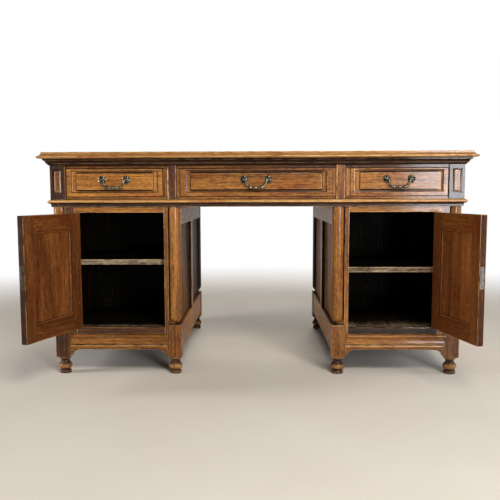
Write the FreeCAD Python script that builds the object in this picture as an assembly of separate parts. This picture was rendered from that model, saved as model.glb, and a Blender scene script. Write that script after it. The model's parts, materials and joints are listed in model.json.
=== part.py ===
import FreeCAD, Part
import math
import os

# Pedestal partners desk in oak: a moulded top with a leather writing surface, a frieze of three
# drawers on each long side, and two pedestals with cupboards in front and drawers behind.
# Millimetres. The desk is drawn about the middle of its plan, standing on z = 0, with the cupboards
# facing -Y, and is moved at the end so that the origin lies under the middle of all that it covers
# with its two doors standing open.

V = FreeCAD.Vector

# ---- driving sizes ---------------------------------------------------------------------------

HEIGHT = 780.0  # floor to top
BODY_L = 1428.0  # over the frieze's corner blocks
BODY_D = 886.0
OVERHANG = 36.0  # top past the corner blocks, all round
TOP_T = 22.0

KNEE_HALF = 264.0  # half the width of the kneehole
POST = 50.0  # square of a corner post's foot block
POST_BACK = 2.0  # posts stand this far behind the frieze's block faces
POST_IN = 3.0  # and this far inside them at the ends

Z_FOOT = 60.0  # top of the turned feet
Z_BLOCK = 176.0  # top of a post's foot block
FRIEZE_H = 166.0  # waist moulding, frieze and cornice together
Z_TOP = HEIGHT - TOP_T
Z_PEDESTAL = Z_TOP - FRIEZE_H  # top of the pedestals

FRONT = -BODY_D / 2  # plane of the frieze's block faces
SIDE = BODY_L / 2
POST_FRONT = FRONT + POST_BACK
POST_SIDE = SIDE - POST_IN

# ---- fits ------------------------------------------------------------------------------------

DRAWER_GAP = 1.0  # beside and above a drawer front
DRAWER_LIFT = 0.4  # under a drawer
PIN_FIT = 0.05  # radial, hinge pins and handle pivots
END_FIT = 0.4  # along a hinge or a pivot

# ---- top -------------------------------------------------------------------------------------

BORDER_W = 118.0  # moulded border, from its tip inwards
EDGE_IN = 13.0  # upper surface starts this far inside the tip
TIP_UP = 5.0  # lip of the edge above the underside
LIP_T = 1.5
STEP_DOWN = 7.0  # step between the edge's hollow and the upper surface
LEATHER_T = 1.5
LEATHER_SET = 0.3  # leather lies this far under the border's surface
CORE_BOARDS = 5

# ---- frieze ----------------------------------------------------------------------------------

GROUND = 6.0  # rails lie this far behind the block faces
RAIL_T = 22.0
WAIST_H = 25.0  # moulding between the pedestals and the frieze
WAIST_OUT = 8.5
CORNICE_H = 23.0
CORNICE_OUT = 19.0
BLOCK_W = 53.0
BLOCK_Z0 = Z_PEDESTAL + WAIST_H
BLOCK_Z1 = Z_TOP - CORNICE_H
LOW_MARGIN = 10.0  # wood seen under and over the frieze drawers
HIGH_MARGIN = 11.0
FRIEZE_Z0 = BLOCK_Z0 + LOW_MARGIN  # drawer openings
FRIEZE_Z1 = BLOCK_Z1 - HIGH_MARGIN
CENTRE_HALF = KNEE_HALF  # the middle opening is as wide as the kneehole
DIVIDER_W = 58.0  # between the middle opening and an outer one
BLOCK_MARGIN = 2.0  # between an outer opening and the corner block
SIDE_X0 = CENTRE_HALF + DIVIDER_W  # outer drawer openings
SIDE_X1 = SIDE - BLOCK_W - BLOCK_MARGIN
PILASTER_IN = 11.0  # raised block on the divider, from the middle opening
PILASTER_W = 32.0
PARTITION_T = 18.0
DUST_T = 8.0

# ---- pedestal --------------------------------------------------------------------------------

FACE_SET = 4.0  # face frame behind the post blocks
CORE_IN = 44.0  # a post's shaft ends this far from its outer faces
INNER_STILE = 14.0  # stile beside the kneehole's post
OUTER_STILE = 33.0
TOP_RAIL = 19.5
LOW_RAIL = 23.0
OPEN_X0 = KNEE_HALF + CORE_IN + INNER_STILE  # cupboard and drawer openings
OPEN_X1 = POST_SIDE - CORE_IN - OUTER_STILE
OPEN_Z0 = 167.0
OPEN_Z1 = Z_PEDESTAL - TOP_RAIL
RAIL_Z = OPEN_Z0 - LOW_RAIL  # underside of the bottom rail
SHAFT_R = 22.5
SHAFT_C = 23.0  # axis of the shaft from the outer faces
SIDE_SET = 2.0  # side frame behind the outer face of the post
SIDE_T = 20.0
SIDE_RAIL_W = 63.0
SIDE_RAIL_Z = Z_PEDESTAL - SIDE_RAIL_W  # underside of a side's top rail
SIDE_FOOT_Z0 = 82.0
SIDE_FOOT_Z1 = Z_BLOCK - 6.0
MUNTIN_W = 60.0
PANEL_SET = 12.0  # panel behind its frame
PANEL_T = 6.0
TONGUE = 6.0
BOARD_T = 16.0
LID_T = 12.0
BEARER = 14.0  # width of a shelf's bearer
PLINTH_H = 36.0  # base moulding, under the bottom rail
PLINTH_OUT = 9.6
PLINTH_T = 18.0
BRACKET = 42.0  # length of a plinth's bracket end
BRACKET_DOWN = 3.0  # bracket's end below the post's block
APRON_Z = 88.0  # underside of the apron between its brackets
SHELF_T = 18.0
SHELF_IN = 33.0  # shelf's front edge behind the posts' faces
LEFT_SHELF_UP = 221.0  # underside of a shelf above the cupboard's floor
RIGHT_SHELF_UP = 193.0
SHELF_Z = {-1: OPEN_Z0 + LEFT_SHELF_UP, 1: OPEN_Z0 + RIGHT_SHELF_UP}

# ---- doors -----------------------------------------------------------------------------------

DOOR_T = 21.0
DOOR_OPEN = {-1: 109.0, 1: 102.0}  # degrees, as they stand
DOOR_STILE = 48.0
HINGE_STILE = 56.0
DOOR_RAIL = 53.0
PANEL_IN = 7.0  # panel's inner face behind the door's
DOOR_FREE_GAP = 2.0
DOOR_HINGE_GAP = 1.5
DOOR_Z_GAP = 1.5
KNUCKLE_R = 3.5
PIN_R = 1.8
PIN_FORWARD = 2.0  # pin stands in front of the door's face
LEAF_L = 60.0
LEAF_W = 18.0
LEAF_T = 1.5
HINGE_INSET = 70.0
LOCK_W = 38.0
LOCK_H = 68.0
LOCK_T = 12.0
LOCK_PLATE = 2.0
LOCK_UP = 10.0  # middle of the lock above the middle of the door

# ---- drawers and handles ---------------------------------------------------------------------

DRAWER_PROUD = 2.0
FRONT_T = 22.0
DRAWER_SIDE_T = 12.0
DRAWER_BOTTOM_T = 8.0
BACK_GAP = 30.0  # between a drawer's back and the board along the middle
RUNNER_T = 14.0
RUNNER_IN = 16.0  # runner under a drawer, from the side of its opening
GUIDE_H = 12.0
DRAWER_STEP = 18.75  # each drawer of a pedestal is this much lower than the one under it
CHANNEL_D = 6.0
END_MARGIN = 10.5  # frame over and under a drawer front's channel
FIELD_UP = 4.0  # frieze fields above the middle of their openings
SIDE_MARGIN = 16.5  # frame beside it
WIDE_MARGIN = 20.0  # the same on the wide middle drawers
END_CHANNEL = 10.5
SIDE_CHANNEL = 19.0
HANDLE_HALF = 42.0  # rosette to middle of a handle
HANDLE_UP = 6.0  # pivots above the middle of the raised field
PIVOT_OUT = 14.0  # pivot in front of the drawer's face
ROSETTE_R = 14.5
EYE_R = 4.2  # eye of a handle post, round the bail's pin
EYE_HALF = 4.0
BAIL_PIN_R = 1.8

# ---- planes and axes that several pieces share -------------------------------------------------

FACE_Y = POST_FRONT + FACE_SET
FRAME_BACK = FACE_Y + RAIL_T
FRIEZE_FACE = FRONT + GROUND - DRAWER_PROUD  # faces of the drawer fronts
PEDESTAL_FACE = FACE_Y - DRAWER_PROUD
DOOR_X0 = OPEN_X0 + DOOR_FREE_GAP
DOOR_X1 = OPEN_X1 - DOOR_HINGE_GAP
DOOR_Z0 = OPEN_Z0 + DOOR_Z_GAP
DOOR_Z1 = OPEN_Z1 - DOOR_Z_GAP
DOOR_BACK = FACE_Y + DOOR_T
PIN_X = OPEN_X1 - DOOR_HINGE_GAP / 2
PIN_Y = FACE_Y - PIN_FORWARD
KNUCKLE_CLEAR = KNUCKLE_R + 0.3
HINGE_Z = (DOOR_Z0 + HINGE_INSET, DOOR_Z1 - HINGE_INSET - LEAF_L)
LOCK_Z = (DOOR_Z0 + DOOR_Z1) / 2 + LOCK_UP - LOCK_H / 2


# ---- helpers ---------------------------------------------------------------------------------


def box(x0, x1, y0, y1, z0, z1):
    return Part.makeBox(x1 - x0, y1 - y0, z1 - z0, V(x0, y0, z0))


def left(shape):
    return shape.mirror(V(0, 0, 0), V(1, 0, 0))


def back(shape):
    return shape.mirror(V(0, 0, 0), V(0, 1, 0))


def turned(shape):
    """The same piece on the opposite side of the desk, facing the other way."""
    copy = shape.copy()
    copy.rotate(V(0, 0, 0), V(0, 0, 1), 180)
    return copy


def four(shape):
    """One piece at each corner of the plan."""
    return [shape, left(shape), back(shape), back(left(shape))]


def group(*shapes):
    solids = []
    for shape in shapes:
        solids += shape.Solids
    return Part.makeCompound(solids)


def outline(start, *moves):
    """A face in the XZ plane. A move is a point, or a pair (point on an arc, its end)."""
    edges = []
    here = V(start[0], 0, start[1])
    for move in moves:
        if isinstance(move[0], tuple):
            through = V(move[0][0], 0, move[0][1])
            there = V(move[1][0], 0, move[1][1])
            edges.append(Part.Arc(here, through, there).toShape())
        else:
            there = V(move[0], 0, move[1])
            edges.append(Part.makeLine(here, there))
        here = there
    first = V(start[0], 0, start[1])
    if not here.isEqual(first, 1e-6):
        edges.append(Part.makeLine(here, first))
    return Part.Face(Part.Wire(edges))


def length_of(face, out, half_long, half_wide):
    """The outline's x is the distance outwards from a rectangle's long side. The length runs along
    that side and is mitred at 45 degrees at both ends."""
    bar = face.copy()
    bar.rotate(V(0, 0, 0), V(0, 0, 1), -90)
    reach = half_long + out
    bar.translate(V(-reach, -half_wide, 0))
    bar = bar.extrude(V(2 * reach, 0, 0))
    box_z = bar.BoundBox
    inner = min(half_wide, half_long) - 0.001
    corners = [
        V(-reach, -half_wide - out, 0),
        V(reach, -half_wide - out, 0),
        V(half_long - inner, -half_wide + inner, 0),
        V(-half_long + inner, -half_wide + inner, 0),
    ]
    wedge = Part.Face(Part.makePolygon(corners + corners[:1]))
    wedge.translate(V(0, 0, box_z.ZMin - 1))
    return bar.common(wedge.extrude(V(0, 0, box_z.ZLength + 2)))


def mitred(face, out, half_x, half_y):
    """Four mitred lengths round a rectangle; out is the outline's greatest x."""
    long_one = length_of(face, out, half_x, half_y)
    short_one = length_of(face, out, half_y, half_x)
    short_one.rotate(V(0, 0, 0), V(0, 0, 1), 90)
    return [long_one, back(long_one), short_one, left(short_one)]


def upright(shape, x, y, z):
    """Turns what lies flat, seen from above, to face -Y with its middle at x, y, z."""
    copy = shape.copy()
    copy.rotate(V(0, 0, 0), V(1, 0, 0), 90)
    copy.translate(V(x, y, z))
    return copy


def flat_sided(r, sides):
    """Corners of an even-sided figure whose flats touch a circle of radius r."""
    corner = r / math.cos(math.pi / sides)
    turns = [2 * math.pi * (n + 0.5) / sides for n in range(sides)]
    return [(corner * math.cos(turn), corner * math.sin(turn)) for turn in turns]


def flat_face(corners):
    return Part.Face(Part.makePolygon(corners + corners[:1]))


def skin(rings):
    """A solid through rings that have the same number of corners: a flat face between each pair of
    neighbouring corners, or two where the four corners don't lie in one plane."""
    faces = [flat_face(rings[0]), flat_face(rings[-1])]
    for low, high in zip(rings, rings[1:]):
        for n, a in enumerate(low):
            b = low[(n + 1) % len(low)]
            c = high[(n + 1) % len(low)]
            d = high[n]
            normal = (b - a).cross(d - a)
            if abs(normal.dot(c - a)) < 1e-4 * normal.Length:
                faces.append(flat_face([a, b, c, d]))
            else:
                faces += [flat_face([a, b, c]), flat_face([a, c, d])]
    solid = Part.Solid(Part.Shell(faces))
    if solid.Volume < 0:
        solid.reverse()
    return solid


def turning(course, place, axis, sides=12):
    """Turned work along an axis from a place: course lists radius and distance along. It is drawn
    with flats in place of the round, so that many small turnings stay light."""
    rings = []
    if axis.z:
        across, up = V(1, 0, 0), V(0, 1, 0)
    elif axis.y:
        across, up = V(1, 0, 0), V(0, 0, 1)
    else:
        across, up = V(0, 1, 0), V(0, 0, 1)
    for r, along in course:
        middle = place + axis * along
        rings.append([middle + across * a + up * b for a, b in flat_sided(r, sides)])
    return skin(rings)


def sunk_channel(half_x, half_z, side_w, end_w):
    """The wood cut away between a drawer front's frame and its raised flat: a quirk, two bevels
    running down into the ground, and the step up to the raised flat."""
    depth = CHANNEL_D
    quirk = 1.5
    run = min(side_w, end_w) * 0.55
    shape = outline(
        (0, 0.5),
        (0, -quirk),
        (-2, -quirk),
        (-2 - run * 0.6, -quirk - (depth - quirk) * 0.35),
        (-2 - run, -depth),
        (-end_w, -depth),
        (-end_w, 0.5),
    )
    flat = mitred(shape, 0, half_x, half_z)
    floor = box(
        -half_x + end_w, half_x - end_w, -half_z + end_w, half_z - end_w, -depth, 0.5
    )
    raised = box(
        -half_x + side_w, half_x - side_w, -half_z + end_w, half_z - end_w, -depth, 0.5
    )
    return flat + floor.cut(raised).Solids


# ---- top -------------------------------------------------------------------------------------


def top_border():
    """Moulded lengths: a thin lip, a shallow hollow rising from it to a square step, and a round
    under the lip."""
    tip = Z_TOP + TIP_UP
    lip = tip + LIP_T
    step = HEIGHT - STEP_DOWN
    face = outline(
        (0, tip),
        (0, lip),
        ((-0.54 * EDGE_IN, lip + 0.38 * (step - lip)), (-EDGE_IN, step)),
        (-EDGE_IN, HEIGHT),
        (-BORDER_W, HEIGHT),
        (-BORDER_W, Z_TOP),
        (-TIP_UP, Z_TOP),
        ((-0.27 * TIP_UP, Z_TOP + 0.37 * TIP_UP), (0, tip)),
    )
    return group(*mitred(face, 0, SIDE + OVERHANG, -FRONT + OVERHANG))


def core_half():
    return SIDE + OVERHANG - BORDER_W, -FRONT + OVERHANG - BORDER_W


def top_core():
    half_x, half_y = core_half()
    wide = 2 * half_y / CORE_BOARDS
    upper = HEIGHT - LEATHER_SET - LEATHER_T
    boards = []
    for n in range(CORE_BOARDS):
        near = -half_y + n * wide
        boards.append(box(-half_x, half_x, near, near + wide, Z_TOP, upper))
    return group(*boards)


def top_leather():
    half_x, half_y = core_half()
    upper = HEIGHT - LEATHER_SET
    return box(-half_x, half_x, -half_y, half_y, upper - LEATHER_T, upper)


# ---- frieze ----------------------------------------------------------------------------------


def cornice():
    """Bed mould under the top: a small round, a fillet and a hollow running out under the edge."""
    rise = CORNICE_H / 23
    face = outline(
        (-GROUND, BLOCK_Z1),
        (1.5, BLOCK_Z1),
        ((0.23 * CORNICE_OUT, BLOCK_Z1 + 2.2 * rise), (0.35 * CORNICE_OUT, BLOCK_Z1 + 6 * rise)),
        (0.53 * CORNICE_OUT, BLOCK_Z1 + 6 * rise),
        (0.53 * CORNICE_OUT, BLOCK_Z1 + 9 * rise),
        ((0.71 * CORNICE_OUT, BLOCK_Z1 + 14.5 * rise), (CORNICE_OUT, BLOCK_Z1 + 17 * rise)),
        (CORNICE_OUT, Z_TOP),
        (-GROUND, Z_TOP),
    )
    return group(*mitred(face, CORNICE_OUT, SIDE, -FRONT))


def waist_moulding():
    """A torus over a hollow, carried round the desk and over the kneehole."""
    foot_out = -POST_BACK + 0.5
    fillet_z = Z_PEDESTAL + 0.2 * WAIST_H
    torus_z = Z_PEDESTAL + 0.5 * WAIST_H
    nose = 0.42 * WAIST_H  # height of the torus
    face = outline(
        (-GROUND, Z_PEDESTAL),
        (foot_out, Z_PEDESTAL),
        (foot_out, fillet_z),
        ((foot_out + 0.9, fillet_z + 0.2 * WAIST_H), (WAIST_OUT - 3.5, torus_z)),
        ((WAIST_OUT, torus_z + nose / 2), (WAIST_OUT - 3.5, torus_z + nose)),
        (1, BLOCK_Z0),
        (-GROUND, BLOCK_Z0),
    )
    return group(*mitred(face, WAIST_OUT, SIDE, -FRONT))


def frieze_frame():
    """Rails and muntins of both long sides, and the two fielded ends."""
    ground = FRONT + GROUND
    inner = ground + RAIL_T
    end = SIDE - GROUND
    rail_x = end - SIDE_T
    lower = box(-rail_x, rail_x, ground, inner, Z_PEDESTAL, FRIEZE_Z0)
    upper = box(-rail_x, rail_x, ground, inner, FRIEZE_Z1, Z_TOP)
    muntin = box(CENTRE_HALF, SIDE_X0, ground, inner, FRIEZE_Z0, FRIEZE_Z1)
    stub = box(SIDE_X1, rail_x, ground, inner, FRIEZE_Z0, FRIEZE_Z1)
    side = box(rail_x, end, ground, -ground, Z_PEDESTAL, Z_TOP)
    field_half = -FRONT - BLOCK_W - 8
    field_high = (FRIEZE_Z1 - FRIEZE_Z0) / 2 - END_MARGIN
    middle = field_z(FRIEZE_Z0, FRIEZE_Z1)
    cuts = []
    for cut in sunk_channel(field_half, field_high, SIDE_CHANNEL, END_CHANNEL):
        cut = upright(cut, 0, -end, middle)
        cut.rotate(V(0, 0, 0), V(0, 0, 1), 90)
        cuts.append(cut)
    side = side.cut(cuts)
    pieces = [lower, back(lower), upper, back(upper), side, left(side)]
    return group(*pieces, *four(muntin), *four(stub))


def rectangle(half_x, half_z, x, y, z):
    """Corners of a rectangle that faces -Y."""
    return [
        V(x - half_x, y, z - half_z),
        V(x + half_x, y, z - half_z),
        V(x + half_x, y, z + half_z),
        V(x - half_x, y, z + half_z),
    ]


def fielded(x0, x1, z0, z1, y):
    """A small raised panel on a plane that faces -Y, bevelled all round."""
    bevel = 4.0
    high = 3.0
    half_x = (x1 - x0) / 2
    half_z = (z1 - z0) / 2
    x = (x0 + x1) / 2
    z = (z0 + z1) / 2
    foot_ring = rectangle(half_x, half_z, x, y, z)
    return skin([foot_ring, rectangle(half_x - bevel, half_z - bevel, x, y - high, z)])


def corner_block():
    """One block wraps a corner of the frieze, with a fielded panel on each face."""
    x0 = SIDE - BLOCK_W
    block = box(x0, SIDE, FRONT, FRONT + BLOCK_W, BLOCK_Z0, BLOCK_Z1)
    block = block.cut(
        box(x0, SIDE - GROUND, FRONT + GROUND, FRONT + BLOCK_W, BLOCK_Z0, BLOCK_Z1)
    )
    margin_x = 10.0
    margin_z = 17.0
    sunk = 3.0
    z0 = BLOCK_Z0 + margin_z + 4
    z1 = BLOCK_Z1 - margin_z + 4
    edge = 4.0
    hole = box(x0 + margin_x, SIDE - margin_x, FRONT, FRONT + sunk, z0, z1)
    panel = fielded(
        x0 + margin_x + edge,
        SIDE - margin_x - edge,
        z0 + edge,
        z1 - edge,
        FRONT + sunk,
    )
    # the same on the end face: swap the block's two outer faces over
    corner = V(SIDE, FRONT, 0)
    block = block.cut([hole, hole.mirror(corner, V(1, 1, 0))])
    return block.fuse([panel, panel.mirror(corner, V(1, 1, 0))])


def pilaster_block():
    """Plain raised block between two drawers, its long edges bevelled."""
    x0 = CENTRE_HALF + PILASTER_IN
    x1 = x0 + PILASTER_W
    y0 = FRONT
    y1 = FRONT + GROUND
    bevel = 2.5
    corners = [
        V(x0, y1, BLOCK_Z0),
        V(x0, y0 + bevel, BLOCK_Z0),
        V(x0 + bevel, y0, BLOCK_Z0),
        V(x1 - bevel, y0, BLOCK_Z0),
        V(x1, y0 + bevel, BLOCK_Z0),
        V(x1, y1, BLOCK_Z0),
    ]
    return flat_face(corners).extrude(V(0, 0, BLOCK_Z1 - BLOCK_Z0))


def frieze_blocks():
    return group(*four(corner_block()), *four(pilaster_block()))


def frieze_boards():
    """Dustboard, the board along the middle and the partitions between the drawers."""
    inner_y = -FRONT - GROUND - RAIL_T
    inner_x = SIDE - GROUND - SIDE_T
    half = PARTITION_T / 2
    upper = Z_PEDESTAL + DUST_T
    dust = box(-inner_x, inner_x, -inner_y, inner_y, Z_PEDESTAL, upper)
    spine = box(-inner_x, inner_x, -half, half, upper, Z_TOP)
    middle = (CENTRE_HALF + SIDE_X0) / 2
    wall = box(middle - half, middle + half, -inner_y, -half, upper, Z_TOP)
    return group(dust, spine, *four(wall))


# ---- pedestals -------------------------------------------------------------------------------


def post(x, y):
    """Foot block, and a three-quarter round shaft that tapers to a tongue above it. x and y are the
    post's outer faces; it is drawn for the right front corner of a pedestal."""
    block = box(x - POST, x, y, y + POST, Z_FOOT, Z_BLOCK)
    rim = [
        e
        for e in block.Edges
        if e.BoundBox.ZMin > Z_BLOCK - 0.1
        and (e.BoundBox.XMin > x - 0.1 or e.BoundBox.YMax < y + 0.1)
    ]
    block = block.makeChamfer(2.0, rim)
    tongue = 24.0
    course = [(8.0, Z_BLOCK), (SHAFT_R, Z_BLOCK + tongue), (SHAFT_R, Z_PEDESTAL)]
    shaft = turning(course, V(x - SHAFT_C, y + SHAFT_C, 0), V(0, 0, 1))
    shaft = shaft.common(box(x - CORE_IN, x, y, y + CORE_IN, Z_BLOCK, Z_PEDESTAL))
    wing = 12.0
    wing_x = box(
        x - CORE_IN, x - SHAFT_C, y + wing, y + CORE_IN, Z_BLOCK, Z_PEDESTAL
    )
    wing_y = box(
        x - CORE_IN, x - wing, y + SHAFT_C, y + CORE_IN, Z_BLOCK, Z_PEDESTAL
    )
    return block.fuse([shaft, wing_x, wing_y])


def right_posts():
    """The four posts of the right pedestal."""
    outer = post(POST_SIDE, POST_FRONT)
    inner = left(post(-KNEE_HALF, POST_FRONT))
    return [outer, inner, back(outer), back(inner)]


def inner_side_x(depth):
    """x of a plane this deep behind the kneehole face of the right pedestal."""
    return KNEE_HALF + depth


def outer_side_x(depth):
    return POST_SIDE - depth


def side_panel_boxes():
    """Two panels in each side of the right pedestal, with their tongues."""
    near = POST_FRONT + CORE_IN
    boxes = []
    front_in = SIDE_SET + PANEL_SET
    for x0, x1 in (
        (inner_side_x(front_in), inner_side_x(front_in + PANEL_T)),
        (outer_side_x(front_in + PANEL_T), outer_side_x(front_in)),
    ):
        panel = box(
            x0,
            x1,
            near - TONGUE,
            -MUNTIN_W / 2 + TONGUE,
            SIDE_FOOT_Z1 - TONGUE,
            SIDE_RAIL_Z + TONGUE,
        )
        boxes += [panel, back(panel)]
    return boxes


def side_frames():
    """Top rail, bottom rail and muntin in each side of the right pedestal."""
    near = POST_FRONT + CORE_IN
    block_back = POST_FRONT + POST
    half = MUNTIN_W / 2
    panels = side_panel_boxes()
    pieces = []
    for x0, x1 in (
        (inner_side_x(SIDE_SET), inner_side_x(SIDE_SET + SIDE_T)),
        (outer_side_x(SIDE_SET + SIDE_T), outer_side_x(SIDE_SET)),
    ):
        rail = box(x0, x1, near, -near, SIDE_RAIL_Z, Z_PEDESTAL)
        foot = box(x0, x1, block_back, -block_back, SIDE_FOOT_Z0, SIDE_FOOT_Z1)
        muntin = box(x0, x1, -half, half, SIDE_FOOT_Z1, SIDE_RAIL_Z)
        pieces += [piece.cut(panels) for piece in (rail, foot, muntin)]
    return pieces


def face_stile(x0, x1, block_x0, block_x1):
    """A stile of the face frame: it runs past the post's block, which is wider than the shaft."""
    upper = box(x0, x1, FACE_Y, FRAME_BACK, Z_BLOCK, Z_PEDESTAL)
    lower = box(block_x0, block_x1, FACE_Y, FRAME_BACK, RAIL_Z, Z_BLOCK)
    return upper.fuse(lower).removeSplitter()


def face_frame():
    """Front face frame of the right pedestal: two stiles, top rail, bottom rail."""
    knee_core = KNEE_HALF + CORE_IN
    knee_block = KNEE_HALF + POST
    side_core = POST_SIDE - CORE_IN
    side_block = POST_SIDE - POST
    return [
        face_stile(knee_core, OPEN_X0, knee_block, OPEN_X0),
        face_stile(OPEN_X1, side_core, OPEN_X1, side_block),
        box(OPEN_X0, OPEN_X1, FACE_Y, FRAME_BACK, OPEN_Z1, Z_PEDESTAL),
        box(OPEN_X0, OPEN_X1, FACE_Y, FRAME_BACK, RAIL_Z, OPEN_Z0),
    ]


def drawer_levels():
    """Lower and upper edge of each drawer opening in a pedestal."""
    mean = (OPEN_Z1 - OPEN_Z0 - 2 * RUNNER_T) / 3
    levels = []
    z = OPEN_Z0
    for high in (mean + DRAWER_STEP, mean, mean - DRAWER_STEP):
        levels.append((z, z + high))
        z += high + RUNNER_T
    return levels


def drawer_rails():
    """Rails between the drawers at the back of the right pedestal."""
    rails = []
    for _, z1 in drawer_levels()[:-1]:
        rail = box(OPEN_X0, OPEN_X1, -FRAME_BACK, -FACE_Y, z1, z1 + RUNNER_T)
        rails.append(rail)
    return rails


def pedestal_boards():
    """Bottom, back of the cupboard and top board of the right pedestal."""
    x0 = inner_side_x(SIDE_SET + SIDE_T)
    x1 = outer_side_x(SIDE_SET + SIDE_T)
    y = FRAME_BACK
    half = PARTITION_T / 2
    lid_z = Z_PEDESTAL - LID_T
    bottom = box(x0, x1, y, -y, OPEN_Z0 - BOARD_T, OPEN_Z0).cut(four_post_envelopes())
    top = box(x0, x1, y, -y, lid_z, Z_PEDESTAL).cut(four_post_envelopes())
    middle = box(x0, x1, -half, half, OPEN_Z0, lid_z)
    return [bottom, top, middle]


def four_post_envelopes():
    """The square that each post of the right pedestal takes up, core or block."""
    near = POST_FRONT
    shapes = []
    for x0, x1 in (
        (KNEE_HALF, KNEE_HALF + POST),
        (POST_SIDE - POST, POST_SIDE),
    ):
        low = box(x0, x1, near, near + POST, Z_FOOT, Z_BLOCK)
        shapes += [low, back(low)]
    for x0, x1 in (
        (KNEE_HALF, KNEE_HALF + CORE_IN),
        (POST_SIDE - CORE_IN, POST_SIDE),
    ):
        high = box(x0, x1, near, near + CORE_IN, Z_BLOCK, Z_PEDESTAL)
        shapes += [high, back(high)]
    return shapes


def shelf(side):
    """side is -1 for the left pedestal, 1 for the right one."""
    x0 = inner_side_x(SIDE_SET + SIDE_T)
    x1 = outer_side_x(SIDE_SET + SIDE_T)
    z = SHELF_Z[side]
    board = box(x0, x1, POST_FRONT + SHELF_IN, -PARTITION_T / 2, z, z + SHELF_T)
    board = board.cut(four_post_envelopes())
    return board if side > 0 else left(board)


def runner_pair(z, x0, x1, wall0, wall1, y0, y1):
    """Runner under each side of a drawer whose opening is x0..x1, in a space wall0..wall1."""
    near = box(wall0, x0 + RUNNER_IN, y0, y1, z - RUNNER_T, z)
    near = near.fuse(box(wall0, x0, y0, y1, z, z + GUIDE_H))
    far = box(x1 - RUNNER_IN, wall1, y0, y1, z - RUNNER_T, z)
    far = far.fuse(box(x1, wall1, y0, y1, z, z + GUIDE_H))
    return [near.removeSplitter(), far.removeSplitter()]


def runners():
    """Drawer runners in the frieze and the pedestals, and the bearers under the shelves."""
    pieces = []
    ground = -FRONT - GROUND - RAIL_T
    half = PARTITION_T / 2
    wall = (CENTRE_HALF + SIDE_X0) / 2
    end = SIDE - GROUND - SIDE_T
    for x0, x1, wall0, wall1 in (
        (-CENTRE_HALF, CENTRE_HALF, -wall + half, wall - half),
        (SIDE_X0, SIDE_X1, wall + half, end),
    ):
        pair = runner_pair(FRIEZE_Z0, x0, x1, wall0, wall1, -ground, -half)
        pieces += pair + [back(one) for one in pair]
        if x0 > 0:
            pieces += [left(one) for one in pair] + [back(left(one)) for one in pair]
    x0 = inner_side_x(SIDE_SET + SIDE_T)
    x1 = outer_side_x(SIDE_SET + SIDE_T)
    for z, _ in drawer_levels()[1:]:
        pair = runner_pair(z, OPEN_X0, OPEN_X1, x0, x1, half, -FRAME_BACK)
        pieces += [one.cut(four_post_envelopes()) for one in pair]
    guide_top = OPEN_Z0 + GUIDE_H
    for near, far in ((x0, OPEN_X0), (OPEN_X1, x1)):
        guide = box(near, far, half, -FRAME_BACK, OPEN_Z0, guide_top)
        pieces.append(guide.cut(four_post_envelopes()))
    pedestal = [piece for piece in pieces if piece.BoundBox.ZMax < Z_PEDESTAL]
    pieces += [left(piece) for piece in pedestal]
    bearer_y = POST_FRONT + POST + 10
    for side, z in SHELF_Z.items():
        for near in (x0, x1 - BEARER):
            bearer = box(near, near + BEARER, bearer_y, -half, z - 18, z)
            pieces.append(bearer if side > 0 else left(bearer))
    return group(*pieces)


def plinth():
    """Base moulding and the bracketed apron under it, between two post blocks."""
    x0 = KNEE_HALF + POST
    x1 = POST_SIDE - POST
    groove = 3.0
    foot_z = RAIL_Z - PLINTH_H
    out = PLINTH_OUT
    face = outline(
        (0, foot_z),
        (0.36 * out, foot_z),
        (0.36 * out, foot_z + 0.08 * PLINTH_H),
        (0.05 * out, foot_z + 0.25 * PLINTH_H),
        (0.05 * out, foot_z + 0.56 * PLINTH_H),
        (0.31 * out, foot_z + 0.67 * PLINTH_H),
        (0.89 * out, foot_z + 0.72 * PLINTH_H),
        ((out, foot_z + 0.82 * PLINTH_H), (0.68 * out, foot_z + 0.92 * PLINTH_H)),
        (0, RAIL_Z),
        (-PLINTH_T, RAIL_Z),
        (-PLINTH_T, foot_z),
    )
    face.rotate(V(0, 0, 0), V(0, 0, 1), -90)
    face.translate(V(x0, FACE_Y, 0))
    moulding = face.extrude(V(x1 - x0, 0, 0))
    low = Z_FOOT - BRACKET_DOWN
    high = foot_z - groove
    bend_x = BRACKET * 0.25
    bend_z = APRON_Z - (APRON_Z - low) * 0.4
    apron = outline(
        (x0, high),
        (x0, low),
        ((x0 + bend_x, bend_z), (x0 + BRACKET, APRON_Z)),
        (x1 - BRACKET, APRON_Z),
        ((x1 - bend_x, bend_z), (x1, low)),
        (x1, high),
    )
    proud = 2.0
    apron.translate(V(0, FACE_Y - proud, 0))
    apron = apron.extrude(V(0, PLINTH_T - proud, 0))
    bead_edge = [
        e
        for e in apron.Edges
        if e.BoundBox.ZMin > high - 0.1 and e.BoundBox.YMax < FACE_Y - proud + 0.1
    ]
    apron = apron.makeChamfer(3.0, bead_edge)
    fillet = box(x0, x1, FACE_Y + groove, FACE_Y + PLINTH_T, high, foot_z)
    return [moulding.fuse(fillet).removeSplitter(), apron]


def foot(x, y):
    """Turned foot: a disc that stands on the floor, a bun, a hollow neck and a collar."""
    course = [
        (20.5, 0),
        (21.0, 8),
        (17.5, 12),
        (23.8, 20),
        (24.6, 31),
        (16.5, 46),
        (22.0, Z_FOOT - 4),
        (22.0, Z_FOOT),
    ]
    return turning(course, V(x, y, 0), V(0, 0, 1), 10)


def foot_places():
    half = POST / 2
    return [
        (POST_SIDE - half, POST_FRONT + half),
        (KNEE_HALF + half, POST_FRONT + half),
    ]


def feet():
    shapes = []
    for x, y in foot_places():
        shapes += four(foot(x, y))
    return group(*shapes)


def posts():
    panels = side_panel_boxes()
    pieces = [piece.cut(panels) for piece in right_posts()]
    return group(*pieces, *[left(piece) for piece in pieces])


# ---- doors -----------------------------------------------------------------------------------


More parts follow.
